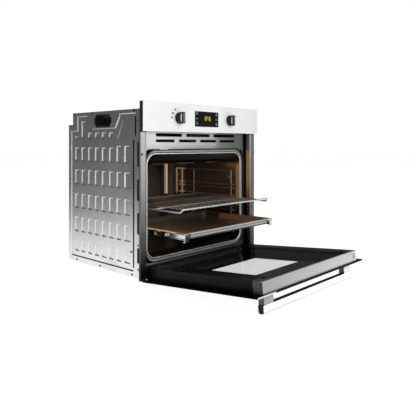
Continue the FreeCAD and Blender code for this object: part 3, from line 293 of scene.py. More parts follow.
def woven(name, dark, light, scale):
    """Matt fibre."""
    surface = Surface(name, light, 0.9)
    weave = surface.noise(scale, 4.0, (1.0, 3.0, 1.0))
    surface.vary_colour(weave, dark, light)
    surface.bump(weave, 0.0006, 0.8)
    return surface


def black_gloss(name):
    """Black printed glass, a little uneven in gloss."""
    surface = Surface(name, (0.006, 0.006, 0.007), 0.06)
    surface.vary_colour(surface.noise(20.0, 3.0), (0.004, 0.004, 0.005), (0.009, 0.009, 0.010))
    surface.vary_roughness(surface.noise(45.0, 4.0), 0.03, 0.09)
    return surface.set(**{"Specular IOR Level": 0.35})


def glowing(name, colour, strength):
    """Surface that gives its own light, a little uneven."""
    surface = Surface(name, colour, 0.5)
    tone = surface.ramp(surface.noise(500.0, 2.0), [(0.3, tuple(0.8 * v for v in colour)), (0.7, colour)])
    surface.link(tone, surface.shader.inputs["Emission Color"])
    surface.set(**{"Emission Strength": strength})
    return surface


def clear_pane(name, window, tint, shine_level):
    """Glass pane: black print with a clear window where one is given, or clear all over."""
    surface = Surface(name, (0.002, 0.002, 0.002), 0.05)
    surface.vary_roughness(surface.noise(45.0, 4.0), 0.03, 0.08)
    surface.set(**{"Specular IOR Level": 0.12, "IOR": 1.15})
    tree = surface.tree
    clear = tree.nodes.new("ShaderNodeBsdfTransparent")
    clear.inputs["Color"].default_value = (*tint, 1.0)
    shine = tree.nodes.new("ShaderNodeBsdfGlossy")
    shine.inputs["Roughness"].default_value = 0.04
    weight = tree.nodes.new("ShaderNodeLayerWeight")
    weight.inputs["Blend"].default_value = 0.5
    grazing = surface.maths("POWER", weight.outputs["Facing"], 4.0)
    reflectance = surface.maths("MULTIPLY_ADD", grazing, shine_level, 0.03 * shine_level)
    glass = tree.nodes.new("ShaderNodeMixShader")
    surface.link(reflectance, glass.inputs["Fac"])
    surface.link(clear.outputs["BSDF"], glass.inputs[1])
    surface.link(shine.outputs["BSDF"], glass.inputs[2])
    result = glass.outputs["Shader"]
    if window:
        whole = tree.nodes.new("ShaderNodeMixShader")
        surface.link(surface.inside_box(*window), whole.inputs["Fac"])
        surface.link(surface.shader.outputs["BSDF"], whole.inputs[1])
        surface.link(result, whole.inputs[2])
        result = whole.outputs["Shader"]
    surface.link(result, tree.nodes["Material Output"].inputs["Surface"])
    return surface


def door_y(s, t):
    """Y of a point of the open door at height s and outward depth t of the closed door, in metres."""
    return -(math.cos(DOOR_TILT) * s + math.sin(DOOR_TILT) * t)


def window_range(half, s, t):
    """X and Y ranges of a clear window, from its half width, its heights and its depth in the door."""
    return ((-half, half), (door_y(s[1], t), door_y(s[0], t)))


MIDDLE_WINDOW = window_range(132 * MM, (142.5 * MM, 353 * MM), 0.0)
OUTER_WINDOW = window_range(0.19, (0.09, 0.40), 0.017)

ALONG_X = (0.02, 1.0, 1.0)
ALONG_Z = (1.0, 1.0, 0.02)

MATERIALS = {
    "galvanised": galvanised("galvanised", (0.60, 0.60, 0.61), (0.72, 0.72, 0.73), 0.34),
    "flange_steel": brushed("flange_steel", (0.47, 0.47, 0.47), (0.53, 0.53, 0.53), 0.36, ALONG_Z),
    "facia_white": gloss_paint("facia_white", (0.83, 0.83, 0.83), (0.87, 0.87, 0.87), 0.22),
    "black_cap": moulded("black_cap", (0.010, 0.010, 0.011), (0.016, 0.016, 0.017), 0.45),
    "carrier": moulded("carrier", (0.010, 0.010, 0.010), (0.018, 0.018, 0.018), 0.55),
    "display_glass": black_gloss("display_glass"),
    "board": moulded("board", (0.02, 0.10, 0.04), (0.03, 0.14, 0.06), 0.4),
    "knob": moulded("knob", (0.012, 0.012, 0.013), (0.020, 0.020, 0.022), 0.38),
    "shaft": brushed("shaft", (0.45, 0.45, 0.46), (0.60, 0.60, 0.61), 0.28, ALONG_X),
    "switch": moulded("switch", (0.55, 0.52, 0.42), (0.63, 0.60, 0.50), 0.5),
    "cavity_enamel": enamel("cavity_enamel", (0.030, 0.022, 0.016), (0.040, 0.029, 0.020), 0.34, 0.03),
    "baffle_enamel": enamel("baffle_enamel", (0.046, 0.036, 0.029), (0.058, 0.046, 0.037), 0.34, 0.03),
    "tray_enamel": enamel("tray_enamel", (0.046, 0.031, 0.020), (0.058, 0.038, 0.025), 0.34, 0.12),
    "ring_bright": plated("ring_bright", (0.90, 0.90, 0.89), 0.36),
    "gasket": moulded("gasket", (0.26, 0.26, 0.26), (0.31, 0.31, 0.31), 0.40, 300.0, 0.00001),
    "wool": woven("wool", (0.045, 0.042, 0.036), (0.080, 0.075, 0.065), 60.0),
    "fan_metal": plated("fan_metal", (0.42, 0.42, 0.43), 0.35),
    "motor": moulded("motor", (0.03, 0.03, 0.03), (0.05, 0.05, 0.05), 0.4),
    "element": plated("element", (0.10, 0.09, 0.085), 0.42),
    "ceramic": moulded("ceramic", (0.66, 0.63, 0.56), (0.75, 0.72, 0.65), 0.6),
    "wire": plated("wire", (0.66, 0.66, 0.66), 0.36),
    "rack_wire": plated("rack_wire", (0.42, 0.39, 0.34), 0.36),
    "rail": plated("rail", (0.74, 0.74, 0.74), 0.14),
    "duct": galvanised("duct", (0.42, 0.43, 0.43), (0.55, 0.56, 0.56), 0.40),
    "impeller": moulded("impeller", (0.05, 0.05, 0.05), (0.08, 0.08, 0.08), 0.5),
    "terminal": moulded("terminal", (0.60, 0.60, 0.57), (0.70, 0.70, 0.67), 0.45),
    "screw": plated("screw", (0.50, 0.50, 0.50), 0.30),
    "dark_screw": plated("dark_screw", (0.10, 0.10, 0.10), 0.35),
    "column": moulded("column", (0.003, 0.003, 0.003), (0.006, 0.006, 0.006), 0.34, 300.0, 0.00001),
    "door_trim": brushed("door_trim", (0.62, 0.62, 0.62), (0.66, 0.66, 0.66), 0.34, ALONG_X),
    "handle": gloss_paint("handle", (0.86, 0.86, 0.86), (0.90, 0.90, 0.90), 0.20),
    "post": gloss_paint("post", (0.44, 0.44, 0.44), (0.50, 0.50, 0.50), 0.32),
    "cap_grey": moulded("cap_grey", (0.045, 0.038, 0.034), (0.065, 0.055, 0.050), 0.40),
    "hinge": moulded("hinge", (0.012, 0.012, 0.012), (0.020, 0.020, 0.020), 0.45),
    "inner_pane": clear_pane("inner_pane", None, (0.95, 0.96, 0.95), 0.16),
    "middle_pane": clear_pane("middle_pane", MIDDLE_WINDOW, (0.97, 0.97, 0.97), 0.04),
    "outer_pane": clear_pane("outer_pane", OUTER_WINDOW, (0.97, 0.97, 0.97), 0.04),
    "lamp_glass": clear_pane("lamp_glass", None, (0.95, 0.93, 0.88), 0.7),
    "bulb": glowing("bulb", (1.0, 0.50, 0.16), 14.0),
    "digits": glowing("digits", (1.0, 0.72, 0.05), 0.38),
    "icon_light": moulded("icon_light", (0.42, 0.42, 0.42), (0.55, 0.55, 0.55), 0.5),
    "icon_dark": moulded("icon_dark", (0.010, 0.010, 0.012), (0.020, 0.020, 0.022), 0.6),
    "icon_grey": moulded("icon_grey", (0.50, 0.50, 0.51), (0.60, 0.60, 0.61), 0.5),
    "index_line": moulded("index_line", (0.50, 0.50, 0.50), (0.60, 0.60, 0.60), 0.4),
    "knob_face": gloss_paint("knob_face", (0.60, 0.60, 0.60), (0.68, 0.68, 0.68), 0.26),
    "handle_dark": moulded("handle_dark", (0.010, 0.010, 0.010), (0.018, 0.018, 0.018), 0.40),
}


# ---- painted light and shade that follow the shape: reflections, shadows and the warm light of the cavity lamp ----
def shade_front_frame():
    """Painted shade at the foot rising to a painted bright top and darker to the right, painted light on the
    sill and below the facia, painted shadow under the facia and in the right recess, and painted amber lamp
    light on the right bend.
    """
    steel = MATERIALS["flange_steel"]
    # Painted shade at the foot and towards the right, painted light towards the top.
    steel.shade("Z", [(0.0, 0.06), (0.05, 0.12), (0.16, 0.42), (0.34, 0.70), (0.50, 0.95)])
    steel.shade("X", [(-0.30, 0.80), (-0.20, 1.0), (0.05, 0.85), (0.26, 0.55), (0.30, 0.78)])
    # Painted light on the frame face below the facia.
    vent_face = {"Y": (0.022, 0.06), "X": (-0.27, 0.10), "Z": (0.44, 0.55)}
    steel.paint_light(steel.zone(0.012, **vent_face), grey(0.20))
    facia_shadow = {"Y": (-0.02, 0.015), "Z": (0.4915, 0.51)}
    steel.wash(steel.zone(0.0005, **facia_shadow), grey(0.02))
    # Painted shade in the right recess.
    right_recess = {"X": (0.262, 0.290), "Y": (0.019, 0.040)}
    steel.wash(steel.zone(0.003, **right_recess), grey(0.004))

    # Painted light on the sill in two bands, fading to the right.
    sill = {"X": (-0.264, 0.262), "Y": (0.026, 0.036)}
    fading_right = steel.along("X", [(-0.26, 1.0), (0.05, 0.60), (0.26, 0.15)])
    broad_band, narrow_band = (0.038, 0.060), (0.0480, 0.0515)
    for heights, strength in ((broad_band, 0.075), (narrow_band, 0.070)):
        lit = steel.maths("MULTIPLY", steel.zone(0.001, Z=heights, **sill), fading_right)
        steel.paint_light(lit, grey(strength))

    # Painted amber lamp light on the right bend.
    right_bend = steel.zone(0.004, X=(0.262, 0.2745), Y=(0.004, 0.020))
    lamp_lit = steel.along("Z", [(0.20, 0.0), (0.31, 1.0), (0.42, 1.0), (0.435, 0.0)])
    steel.paint_light(steel.maths("MULTIPLY", right_bend, lamp_lit), (0.20, 0.085, 0.02))


def shade_casing():
    """Painted reflection grading the zinc sheet brighter low down and darker higher up, painted shadow in
    the door's opening, and painted shade in and round the left side's holes and seams.
    """
    panel = MATERIALS["galvanised"]
    # Painted reflection: brighter near the foot, darker towards the top.
    panel.shade("Z", [(0.0, 1.12), (0.18, 1.05), (0.55, 0.80)])
    door_opening = {"X": (-0.262, 0.262), "Y": (-0.01, 0.30), "Z": (-0.010, 0.050)}
    panel.wash(panel.zone(0.003, **door_opening), grey(0.008))

    # Painted shade in and round the real holes and seams of the left side, wider than the openings, and
    # along the bottom fold.
    outside = {"X": (-0.285, -0.2735)}
    gap_shade = grey(0.012)
    half_y, half_z = 5.5, 3.0
    low_holes = [(y, 8.8) for y in (413.0, 257.0, 69.0)]
    high_holes = [(y, 566.0) for y in (59.0, 310.0, 436.0)]
    front_hole = (78.0, 84.0)
    for y, z in low_holes + high_holes + [front_hole]:
        hole = {"Y": ((y - half_y) * MM, (y + half_y) * MM), "Z": ((z - half_z) * MM, (z + half_z) * MM)}
        panel.wash(panel.zone(0.0008, **hole, **outside), gap_shade)
    long_seam = {"Y": (0.0570, 0.0690), "Z": (0.031, 0.467)}
    short_seam = {"Y": (0.0465, 0.0585), "Z": (0.481, 0.547)}
    bottom_fold = {"Y": (0.066, 0.450), "Z": (0.0195, 0.0225)}
    for place, colour in ((long_seam, gap_shade), (short_seam, gap_shade), (bottom_fold, grey(0.08))):
        panel.wash(panel.zone(0.0006, **place, **outside), colour)


def shade_cavity():
    """Painted lamp light on the right wall and its front edge, a painted highlight in the far right corner,
    painted shade low down and under the roof, and painted lamp light on the rack uprights.
    """
    wall = MATERIALS["cavity_enamel"]
    # Painted shade low down and under the roof.
    wall.shade("Z", [(0.06, 0.20), (0.16, 0.35), (0.24, 1.0), (0.372, 1.0), (0.388, 0.25)])
    # Painted lamp light on the right wall above the tray, strongest at its front edge.
    above_tray = {"X": (0.215, 0.30), "Z": (0.20, 0.37)}
    wall.paint_light(wall.zone(0.03, **above_tray), (0.005, 0.0028, 0.0012))
    wall.paint_light(wall.zone(0.006, Y=(0.034, 0.053), **above_tray), (0.16, 0.085, 0.030))
    # Painted highlight in the far right corner, grey then amber.
    corner = {"Y": (0.42, 0.46), "Z": (0.225, 0.366)}
    wall.paint_light(wall.zone(0.002, X=(0.184, 0.194), **corner), (0.17, 0.14, 0.11))
    wall.paint_light(wall.zone(0.002, X=(0.194, 0.204), **corner), (0.50, 0.32, 0.16))

    # Painted lamp light on the rack uprights, strongest on the back ones.
    uprights = MATERIALS["rack_wire"]
    back_rods = {"X": (0.20, 0.30), "Y": (0.35, 0.46), "Z": (0.23, 0.36)}
    front_rods = {"X": (0.20, 0.30), "Y": (0.0, 0.33), "Z": (0.20, 0.36)}
    uprights.paint_light(uprights.zone(0.006, **back_rods), (0.16, 0.10, 0.055))
    uprights.paint_light(uprights.zone(0.01, **front_rods), (0.015, 0.009, 0.005))


def shade_tray_and_shelf():
    """Painted light across the tray and lamp light on its walls, its pale front face between painted lines
    of shade, a painted glint on its left rim, and painted light on the nearer shelf wires.
    """
    tray = MATERIALS["tray_enamel"]
    # Painted light and shade across the tray, and painted lamp light on its right wall and left end.
    tray.shade("X", [(-0.23, 2.8), (-0.12, 1.8), (0.08, 1.1), (0.23, 1.6)])
    tray.shade("Y", [(-0.13, 1.5), (0.0, 1.0), (0.15, 0.55)])
    right_wall = {"X": (0.199, 0.215), "Y": (-0.12, 0.12)}
    tray.paint_light(tray.zone(0.004, **right_wall), (0.052, 0.025, 0.008))
    tray.paint_light(tray.along("X", [(-0.22, 1.0), (-0.08, 0.0)]), (0.045, 0.026, 0.011))
    front_face = {"Y": (-0.20, -0.1375)}
    tray.wash(tray.zone(0.0006, **front_face), (0.38, 0.38, 0.375))
    # Painted shade: a dark line across the front face and a dark band along its foot.
    tray.wash(tray.zone(0.0008, Z=(0.1550, 0.1580), **front_face), grey(0.08))
    tray.wash(tray.zone(0.0008, Z=(0.1400, 0.1495), **front_face), grey(0.02))
    # Painted glint of lamp light on the left rim.
    left_rim = {"X": (-0.235, -0.2265), "Y": (-0.10, 0.10)}
    tray.paint_light(tray.zone(0.001, **left_rim), (0.55, 0.34, 0.13))

    wires = MATERIALS["wire"]
    # Painted light on the nearer shelf wires, fading towards the back.
    wires.shade("Y", [(-0.12, 1.35), (0.05, 1.2), (0.12, 0.8), (0.25, 0.55)])
    wires.paint_light(wires.along("Y", [(0.0, 1.0), (0.14, 0.0)]), (0.018, 0.018, 0.017))


def shade_gasket():
    """Painted shade along the inner and outer edges of the seal, which leaves its crown as a pale line, with
    painted light across the middle and painted shade towards the sides.
    """
    seal = MATERIALS["gasket"]
    seal_width = 0.012
    outward = seal.rim_distance(0.247, (0.0557, 0.4217), 0.041)
    share = seal.maths("MULTIPLY", outward, 1.0 / seal_width)
    # Painted shade along both edges of the seal.
    edge_shade = seal.ramp(share, [(0.10, 1.0), (0.20, 0.0), (0.62, 0.0), (0.72, 1.0)])
    seal.wash(edge_shade, grey(0.012))
    # Painted light across the middle, painted shade towards the left and right.
    seal.shade("X", [(-0.26, 0.30), (-0.235, 1.1), (0.10, 1.1), (0.235, 0.85), (0.26, 0.75)])


def shade_door():
    """Painted shade along the posts' edges and painted light and shade across them, painted shade on the
    handle's lower part, a painted highlight on the outer glass's edge, and painted shade across the top trim
    and in its small slot.
    """
    pillar = MATERIALS["post"]
    half_line = 0.0006
    # Painted shade: dark lines along the posts' edges.
    for x in (-0.244, -0.201, 0.201, 0.244):
        pillar.wash(pillar.zone(0.0003, X=(x - half_line, x + half_line)), grey(0.008))
    # Painted shade towards the left, painted light towards the right.
    pillar.shade("X", [(-0.25, 0.50), (0.25, 1.3)])

    bar = MATERIALS["handle"]
    # Painted shade on the handle's lower part.
    lower_part = (-0.030, -0.0085)
    bar.wash(bar.zone(0.0008, Z=lower_part), grey(0.30))

    pane = MATERIALS["outer_pane"]
    # Painted highlight along the outer glass's edge.
    glass_edge = {"X": (-0.30, -0.215), "Y": (-0.4940, -0.4910)}
    pane.paint_light(pane.zone(0.0003, **glass_edge), grey(0.75))

    trim = MATERIALS["door_trim"]
    # Painted shade towards the trim's left.
    trim.shade("X", [(-0.265, 0.50), (0.265, 1.05)])
    # The trim's small slot painted dark as shade.
    right_slot = {"X": (0.2440, 0.2492), "Z": (0.0567, 0.0712)}
    trim.wash(trim.zone(0.0005, **right_slot), grey(0.01))


def shade_controls():
    """Painted reflection on the right half of each knob's grip, and painted shade making the facia a little
    darker to the right.
    """
    grip = MATERIALS["knob"]
    # Painted reflection on the right half of each grip.
    for name in KNOBS:
        x = knob_centre(name)
        grip.wash(grip.zone(0.0004, X=(x + 5.4 * MM, x + 25.0 * MM)), grey(0.85))
    # Painted shade towards the facia's right end.
    MATERIALS["facia_white"].shade("X", [(0.05, 1.0), (0.297, 0.90)])


def shade_materials():
    shade_front_frame()
    shade_casing()
    shade_cavity()
    shade_tray_and_shelf()
    shade_gasket()
    shade_door()
    shade_controls()
    for name in ("column", "knob", "handle_dark", "hinge"):
        MATERIALS[name].set(**{"Specular IOR Level": 0.10})


NODE_MATERIALS = {
    "galvanised": ["side_panel_left", "side_panel_right", "top_cover", "base_plate", "rear_panel",
                   "rear_fan_cover"],
    "flange_steel": ["front_frame"],
    "facia_white": ["control_facia"],
    "black_cap": ["facia_end_caps"],
    "carrier": ["control_carrier"],
    "display_glass": ["display_window"],
    "board": ["control_board"],
    "knob": ["function_knob", "temperature_knob"],
    "shaft": ["function_shaft", "temperature_shaft", "temperature_probe"],
    "switch": ["function_switch", "temperature_switch"],
    "cavity_enamel": ["cavity_liner"],
    "baffle_enamel": ["fan_baffle"],
    "tray_enamel": ["drip_tray"],
    "ring_bright": ["mouth_ring"],
    "gasket": ["door_gasket"],
    "wool": ["insulation_blanket"],
    "fan_metal": ["fan_impeller"],
    "motor": ["fan_motor", "cooling_motor"],
    "element": ["ring_element", "grill_element", "bottom_element"],
    "ceramic": ["lamp_holder"],
    "lamp_glass": ["lamp_glass"],
    "bulb": ["lamp_bulb"],
    "wire": ["wire_shelf"],
    "rack_wire": ["side_rack_left", "side_rack_right"],
    "rail": ["rail_fixed_left", "rail_fixed_right", "rail_middle_left", "rail_middle_right",
             "rail_slider_left", "rail_slider_right"],
    "duct": ["cooling_duct"],
    "impeller": ["cooling_impeller"],
    "terminal": ["terminal_block"],
    "screw": ["rack_screws"],
    "dark_screw": ["body_screws"],
    "outer_pane": ["outer_glass"],
    "middle_pane": ["middle_glass"],
    "inner_pane": ["inner_glass"],
    "column": ["door_column_left", "door_column_right"],
    "door_trim": ["door_top_trim"],
    "cap_grey": ["door_corner_caps"],
    "handle": ["handle_bar"],
    "post": ["handle_posts"],
    "hinge": ["hinge_arms", "hinge_receivers", "hinge_cassettes"],
}


def dress_nodes():
    for key, nodes in NODE_MATERIALS.items():
        for node in nodes:
            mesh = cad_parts[node].data
            mesh.materials.clear()
            mesh.materials.append(MATERIALS[key].material)


# ---- small pieces added here ----
def add_piece(name, vertices, faces, material, body):
    mesh = bpy.data.meshes.new(name)
    mesh.from_pydata([tuple(v) for v in vertices], [], faces)
    mesh.validate()
    mesh.materials.append(MATERIALS[material].material)
    piece = bpy.data.objects.new(name, mesh)
    bpy.context.collection.objects.link(piece)
    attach(piece, body)


def ring_point(centre, radius, turn):
    """Point (x, z) on a circle, at an angle in radians."""
    return (centre[0] + radius * math.cos(turn), centre[1] + radius * math.sin(turn))


class Marks:
    """Collects thin raised shapes that lie on a plane facing -Y, then makes one piece of them."""

    def __init__(self, plane_y, thickness):
        self.front = plane_y - thickness
        self.back = plane_y
        self.vertices = []
        self.faces = []

    def polygon(self, points):
        """Outline as (x, z), anticlockwise seen from the front."""
        start = len(self.vertices)
        count = len(points)
        for y in (self.front, self.back):
            self.vertices += [(x, y, z) for x, z in points]
        self.faces.append([start + k for k in range(count)])
        self.faces.append([start + count + k for k in reversed(range(count))])
        for k in range(count):
            after = (k + 1) % count
            self.faces.append([start + k, start + count + k, start + count + after, start + after])

    def bar(self, start, end, width):
        """Straight bar between two (x, z) points."""
        a = Vector(start)
        b = Vector(end)
        along = (b - a).normalized()
        side = Vector((-along.y, along.x)) * 0.5 * width
        self.polygon([a - side, b - side, b + side, a + side])

    def dot(self, x, z, radius, count=16):
        self.polygon([ring_point((x, z), radius, 2 * math.pi * k / count) for k in range(count)])

    def frame(self, x, z, half_x, half_z, width):
        """Rectangular outline, from its centre and its outer half sizes."""
        side_x = half_x - width / 2
        level_z = half_z - width / 2
        for sign in (-1.0, 1.0):
            self.bar((x - half_x, z + sign * level_z), (x + half_x, z + sign * level_z), width)
            self.bar((x + sign * side_x, z - half_z + width), (x + sign * side_x, z + half_z - width), width)

    def arc(self, x, z, radius, start, end, width, count):
        """Band along a circle, from and to an angle in degrees."""
        angles = [math.radians(start + (end - start) * k / count) for k in range(count + 1)]
        outer = [ring_point((x, z), radius + width / 2, angle) for angle in angles]
        inner = [ring_point((x, z), radius - width / 2, angle) for angle in angles]
        for k in range(count):
            self.polygon([inner[k], outer[k], outer[k + 1], inner[k + 1]])

    def make(self, name, material, body):
        add_piece(name, self.vertices, self.faces, material, body)


CLOCK_TIME = "1215"
SEGMENTS = {"1": "bc", "2": "abged", "5": "afgcd"}


def draw_digit(marks, digit, left, bottom, width, height, stroke):
    """Seven-segment numeral."""
    gap = 0.25 * stroke
    right = left + width
    middle = bottom + 0.5 * height
    top = bottom + height
    runs = {
        "a": ((left + gap, top), (right - gap, top)),
        "g": ((left + gap, middle), (right - gap, middle)),
        "d": ((left + gap, bottom), (right - gap, bottom)),
        "f": ((left, middle + gap), (left, top - gap)),
        "b": ((right, middle + gap), (right, top - gap)),
        "e": ((left, bottom + gap), (left, middle - gap)),
        "c": ((right, bottom + gap), (right, middle - gap)),
    }
    for segment in SEGMENTS[digit]:
        marks.bar(*runs[segment], stroke)


def clock():
    """Lit time on the display."""
    digits = Marks(WINDOW[0][1], 0.12 * MM)
    bottom = 539.0 * MM
    width, height, stroke = 4.8 * MM, 15.0 * MM, 1.15 * MM
    for digit, left in zip(CLOCK_TIME, (-16.0, -7.0, 4.5, 13.0)):
        draw_digit(digits, digit, left * MM, bottom, width, height, stroke)
    colon_x, colon_radius = 1.4 * MM, 1.2 * MM
    for z in (544.0, 551.0):
        digits.dot(colon_x, z * MM, colon_radius)
    digits.make("clock_digits", "digits", BODY)


def touch_symbols():
    """Touch symbols down both sides of the display: outlines and rows of three dots, by turns."""
    symbols = Marks(WINDOW[0][1], 0.10 * MM)
    left_column = (-52.0 * MM, (566.0, 560.5, 545.0, 532.0, 526.0))
    right_column = (50.0 * MM, (564.0, 559.0, 544.5, 531.0, 525.0))
    for x, rows in (left_column, right_column):
        for index, z in enumerate(rows):
            if index % 2 == 0:
                symbols.frame(x, z * MM, 3.4 * MM, 2.3 * MM, 0.9 * MM)
            else:
                for step in (-3.0, 0.0, 3.0):
                    symbols.dot(x + step * MM, z * MM, 1.0 * MM)
    symbols.make("touch_symbols", "icon_light", BODY)


SYMBOL_RING = 35.0 * MM        # radius of the symbols round the left knob


def function_symbols():
    """Three bold generic symbols beside the left knob."""
    centre = (knob_centre("function"), CONTROL_Z)
    dark = Marks(FACIA[0][1], 0.10 * MM)
    half = 3.4 * MM
    for index, angle in enumerate((124.0, 153.5, 179.0)):
        x, z = ring_point(centre, SYMBOL_RING, math.radians(angle))
        dark.frame(x, z, half, half, 1.9 * MM)
        for step in (-1.0, 1.0)[: 1 + index % 2]:
            dark.bar((x - half, z + step * MM), (x + half, z + step * MM), 1.0 * MM)
    dark.make("function_symbols", "icon_dark", BODY)


def dial_scale():
    """Faint symbols round the rest of the left knob, and a scale of ticks round the right one."""
    faint = Marks(FACIA[0][1], 0.08 * MM)
    left = (knob_centre("function"), CONTROL_Z)
    half, half_dash, stroke = 2.5 * MM, 1.4 * MM, 0.6 * MM
    for angle in (98.0, 71.0, 44.0, 17.0, -10.0, -37.0, 206.0, 233.0, 260.0):
        x, z = ring_point(left, SYMBOL_RING, math.radians(angle))
        faint.frame(x, z, half, half, stroke)
        faint.bar((x - half_dash, z), (x + half_dash, z), stroke)

    right = (knob_centre("temperature"), CONTROL_Z)
    scale_radius = 27.0 * MM
    ticks, tick_angle = 11, 27.0
    for index in range(ticks):
        turn = math.radians(90.0 - tick_angle * index)
        outer = (32.0 if index % 2 == 0 else 30.0) * MM
        faint.bar(ring_point(right, scale_radius, turn), ring_point(right, outer, turn), 0.7 * MM)
    faint.arc(*right, scale_radius, 90.0, -180.0, 0.5 * MM, 48)
    faint.make("dial_scale", "icon_grey", BODY)


def fixing_hole_shade():
    """Low round dark discs over the two fixing holes of the flange: painted shade for the dark holes."""
    hole_shade = Marks(0.0, 0.5 * MM)
    hole_x, hole_z, disc_radius = 290.5 * MM, 418.0 * MM, 4.0 * MM
    # Dark discs of painted shade over the fixing holes.
    for x in (-hole_x, hole_x):
        hole_shade.dot(x, hole_z, disc_radius, 20)
    hole_shade.make("fixing_hole_shade", "handle_dark", BODY)


def knob_trim(name):
    """Index line on the grip and the pale insets on each side of it."""
    low, high = KNOBS[name]
    centre = knob_centre(name)
    radius = 0.5 * (high[0] - low[0])
    body = name + "_control"
    line = Marks(low[1], 0.10 * MM)
    x = centre - 1.6 * MM
    reach = radius - 2.5 * MM
    line.bar((x, CONTROL_Z - reach), (x, CONTROL_Z + reach), 1.5 * MM)
    line.make(name + "_index_line", "index_line", body)

    rim_depth = 7.2 * MM
    inset = Marks(low[1] + rim_depth, 0.8 * MM)
    edge, width, height = 5.7 * MM, 5.5 * MM, radius - 5.5 * MM
    steps = 18
    for side in (0.0, math.pi):
        angles = [side - 0.5 * math.pi + math.pi * k / steps for k in range(steps + 1)]
        flat_x = centre + edge * math.cos(side)
        inset.polygon([(flat_x + width * math.cos(a), CONTROL_Z + height * math.sin(a)) for a in angles])
    inset.make(name + "_inset", "knob_face", body)


OPEN_RISE = 18.4 * MM          # height of the point s = 0, t = 0 on the open door


def door_point(x, s, t):
    """Place on the open door, from the closed door's height s and outward depth t."""
    return (x, door_y(s, t), OPEN_RISE + math.sin(DOOR_TILT) * s - math.cos(DOOR_TILT) * t)


def door_prism(name, outline, x, material):
    """Prism along X on the open door, from an (s, t) outline in millimetres."""
    count = len(outline)
    vertices = [door_point(level * MM, s * MM, t * MM) for level in x for s, t in outline]
    faces = [[k, (k + 1) % count, count + (k + 1) % count, count + k] for k in range(count)]
    faces += [list(reversed(range(count))), list(range(count, 2 * count))]
    add_piece(name, vertices, faces, material, "door")


def handle_trim():
    """Dark end caps on the handle bar and the dark strips on its face towards the door, in millimetres."""
    low, high = 450.2, 468.8
    back, front = 50.0, 72.8
    radius = 7.0
    outline = [(low, back), (high, back)]
    for centre_s, start in ((high - radius, 0.0), (low + radius, 90.0)):
        for step in range(7):
            turn = math.radians(start + 15.0 * step)
            outline.append((centre_s + radius * math.cos(turn), front - radius + radius * math.sin(turn)))
    bar_end, cap_end = 246.9, 247.3
    door_prism("handle_cap_left", outline, (-cap_end, -bar_end), "handle_dark")
    door_prism("handle_cap_right", outline, (bar_end, cap_end), "handle_dark")

    strip = [(451.0, 49.8), (468.0, 49.8), (468.0, 50.1), (451.0, 50.1)]
    post_inner, post_outer = 200.8, 244.2
    stretches = {
        "left": (-bar_end, -post_outer),
        "middle": (-post_inner, post_inner),
        "right": (post_outer, bar_end),
    }
    for name, x in stretches.items():
        door_prism("handle_strip_" + name, strip, x, "handle_dark")


# ---- stage ----
POOL_RADIUS = 0.8          # the floor lights the object brightly out to here
POOL_EDGE = 2.2            # and hardly beyond here
POOL_NEAR = 1.10           # its strength inside the first distance
POOL_FAR = 0.12            # and outside the second
POOL_SPAN = 4.0            # distance that the pool's ramp covers
FLOOR_SEEN = 0.955         # what the camera itself sees of the floor
SKY_LEVELS = ((0.0, 0.22), (0.12, 0.14), (0.45, 0.08), (1.0, 0.22))     # upward direction, grey
LAMP_WARM = (1.0, 0.55, 0.20)

CAMERA_PLACE = (-1.3157, -1.3011, 0.4514)
CAMERA_TURN = -48.968
CAMERA_LENS = 42.82
CAMERA_SHIFT = (-0.0666, -0.1531)


def add_floor():
    """Plain pale floor under the lowest point of the open door's handle."""
    level = CAD_BOX[0][2] - 1.0 * MM
    half = 30.0
    corners = [(-half, -half, level), (half, -half, level), (half, half, level), (-half, half, level)]
    mesh = bpy.data.meshes.new("floor")
    mesh.from_pydata(corners, [], [[0, 1, 2, 3]])
    floor = bpy.data.objects.new("floor", mesh)
    bpy.context.collection.objects.link(floor)
    surface = Surface("floor", grey(0.25), 0.8)
    surface.vary_colour(surface.noise(0.8, 2.0), grey(0.23), grey(0.27))
    surface.set(**{"Emission Color": (1.0, 1.0, 1.0, 1.0), "Specular IOR Level": 0.0})
    path = surface.tree.nodes.new("ShaderNodeLightPath")
    distance = surface.tree.nodes.new("ShaderNodeVectorMath")
    distance.operation = "LENGTH"
    surface.link(surface.coords, distance.inputs[0])
    share = surface.maths("MULTIPLY", distance.outputs["Value"], 1.0 / POOL_SPAN)
    pool = surface.ramp(share, [(POOL_RADIUS / POOL_SPAN, POOL_NEAR), (POOL_EDGE / POOL_SPAN, POOL_FAR)])
    seen = surface.blend(path.outputs["Is Camera Ray"], pool, grey(FLOOR_SEEN))
    surface.link(seen, surface.shader.inputs["Emission Strength"])
    mesh.materials.append(surface.material)


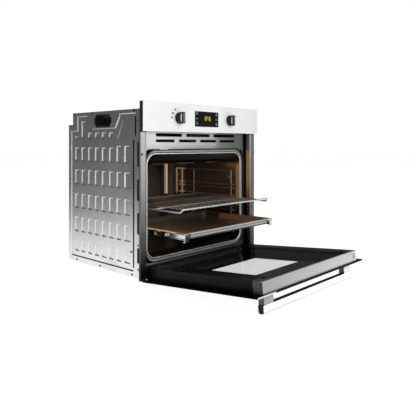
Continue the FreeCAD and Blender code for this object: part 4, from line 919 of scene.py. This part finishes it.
def add_world():
    """White backdrop; what lights the object is a soft gradient, brighter near the horizon."""
    world = bpy.data.worlds.new("studio")
    world.use_nodes = True
    tree = world.node_tree
    background = tree.nodes["Background"]
    coords = tree.nodes.new("ShaderNodeTexCoord")
    split = tree.nodes.new("ShaderNodeSeparateXYZ")
    ramp = tree.nodes.new("ShaderNodeValToRGB")
    elements = ramp.color_ramp.elements
    while len(elements) < len(SKY_LEVELS):
        elements.new(0.5)
    for element, (position, level) in zip(elements, SKY_LEVELS):
        element.position = position
        element.color = (*grey(level), 1.0)
    tree.links.new(coords.outputs["Generated"], split.inputs["Vector"])
    tree.links.new(split.outputs["Z"], ramp.inputs["Fac"])
    tree.links.new(ramp.outputs["Color"], background.inputs["Color"])
    white = tree.nodes.new("ShaderNodeBackground")
    white.inputs["Strength"].default_value = 1.0
    white.inputs["Color"].default_value = (1.0, 1.0, 1.0, 1.0)
    path = tree.nodes.new("ShaderNodeLightPath")
    choose = tree.nodes.new("ShaderNodeMixShader")
    tree.links.new(path.outputs["Is Camera Ray"], choose.inputs["Fac"])
    tree.links.new(background.outputs["Background"], choose.inputs[1])
    tree.links.new(white.outputs["Background"], choose.inputs[2])
    tree.links.new(choose.outputs["Shader"], tree.nodes["World Output"].inputs["Surface"])
    bpy.context.scene.world = world


def add_light(name, place, target, size, power, colour=(1.0, 1.0, 1.0)):
    light = bpy.data.lights.new(name, "AREA")
    light.shape = "RECTANGLE"
    light.size, light.size_y = size
    light.energy = power
    light.color = colour
    holder = bpy.data.objects.new(name, light)
    holder.location = place
    holder.rotation_euler = (Vector(target) - Vector(place)).to_track_quat("-Z", "Y").to_euler()
    bpy.context.collection.objects.link(holder)


def add_lights():
    middle = (0.0, 0.1, 0.3)
    add_light("front_softbox", (-0.6, -3.2, 1.9), middle, (2.6, 1.8), 70.0)
    add_light("frame_card", (1.1, -2.6, 0.7), middle, (0.9, 1.4), 16.0)
    add_light("left_card", (-2.7, -1.7, 0.7), middle, (0.7, 1.5), 9.0)
    add_light("right_softbox", (3.2, -0.4, 1.0), middle, (1.2, 1.6), 18.0)
    far_wall = (0.26, 0.05, 0.28)
    add_light("cavity_glow", (-0.169, 0.395, 0.345), far_wall, (0.08, 0.08), 0.03, LAMP_WARM)


def add_camera():
    camera = bpy.data.cameras.new("camera")
    camera.sensor_width = 36.0
    camera.lens = CAMERA_LENS
    camera.shift_x, camera.shift_y = CAMERA_SHIFT
    camera.clip_start = 0.05
    camera.clip_end = 100.0
    holder = bpy.data.objects.new("camera", camera)
    holder.location = CAMERA_PLACE
    holder.rotation_euler = (math.radians(90.0), 0.0, math.radians(CAMERA_TURN))
    bpy.context.collection.objects.link(holder)
    bpy.context.scene.camera = holder


shade_materials()
dress_nodes()
clock()
touch_symbols()
function_symbols()
dial_scale()
for knob in KNOBS:
    knob_trim(knob)
# Dark discs of painted shade over the flange's fixing holes.
fixing_hole_shade()
handle_trim()
add_floor()
add_world()
add_lights()
add_camera()
bpy.context.scene.view_settings.view_transform = "Standard"
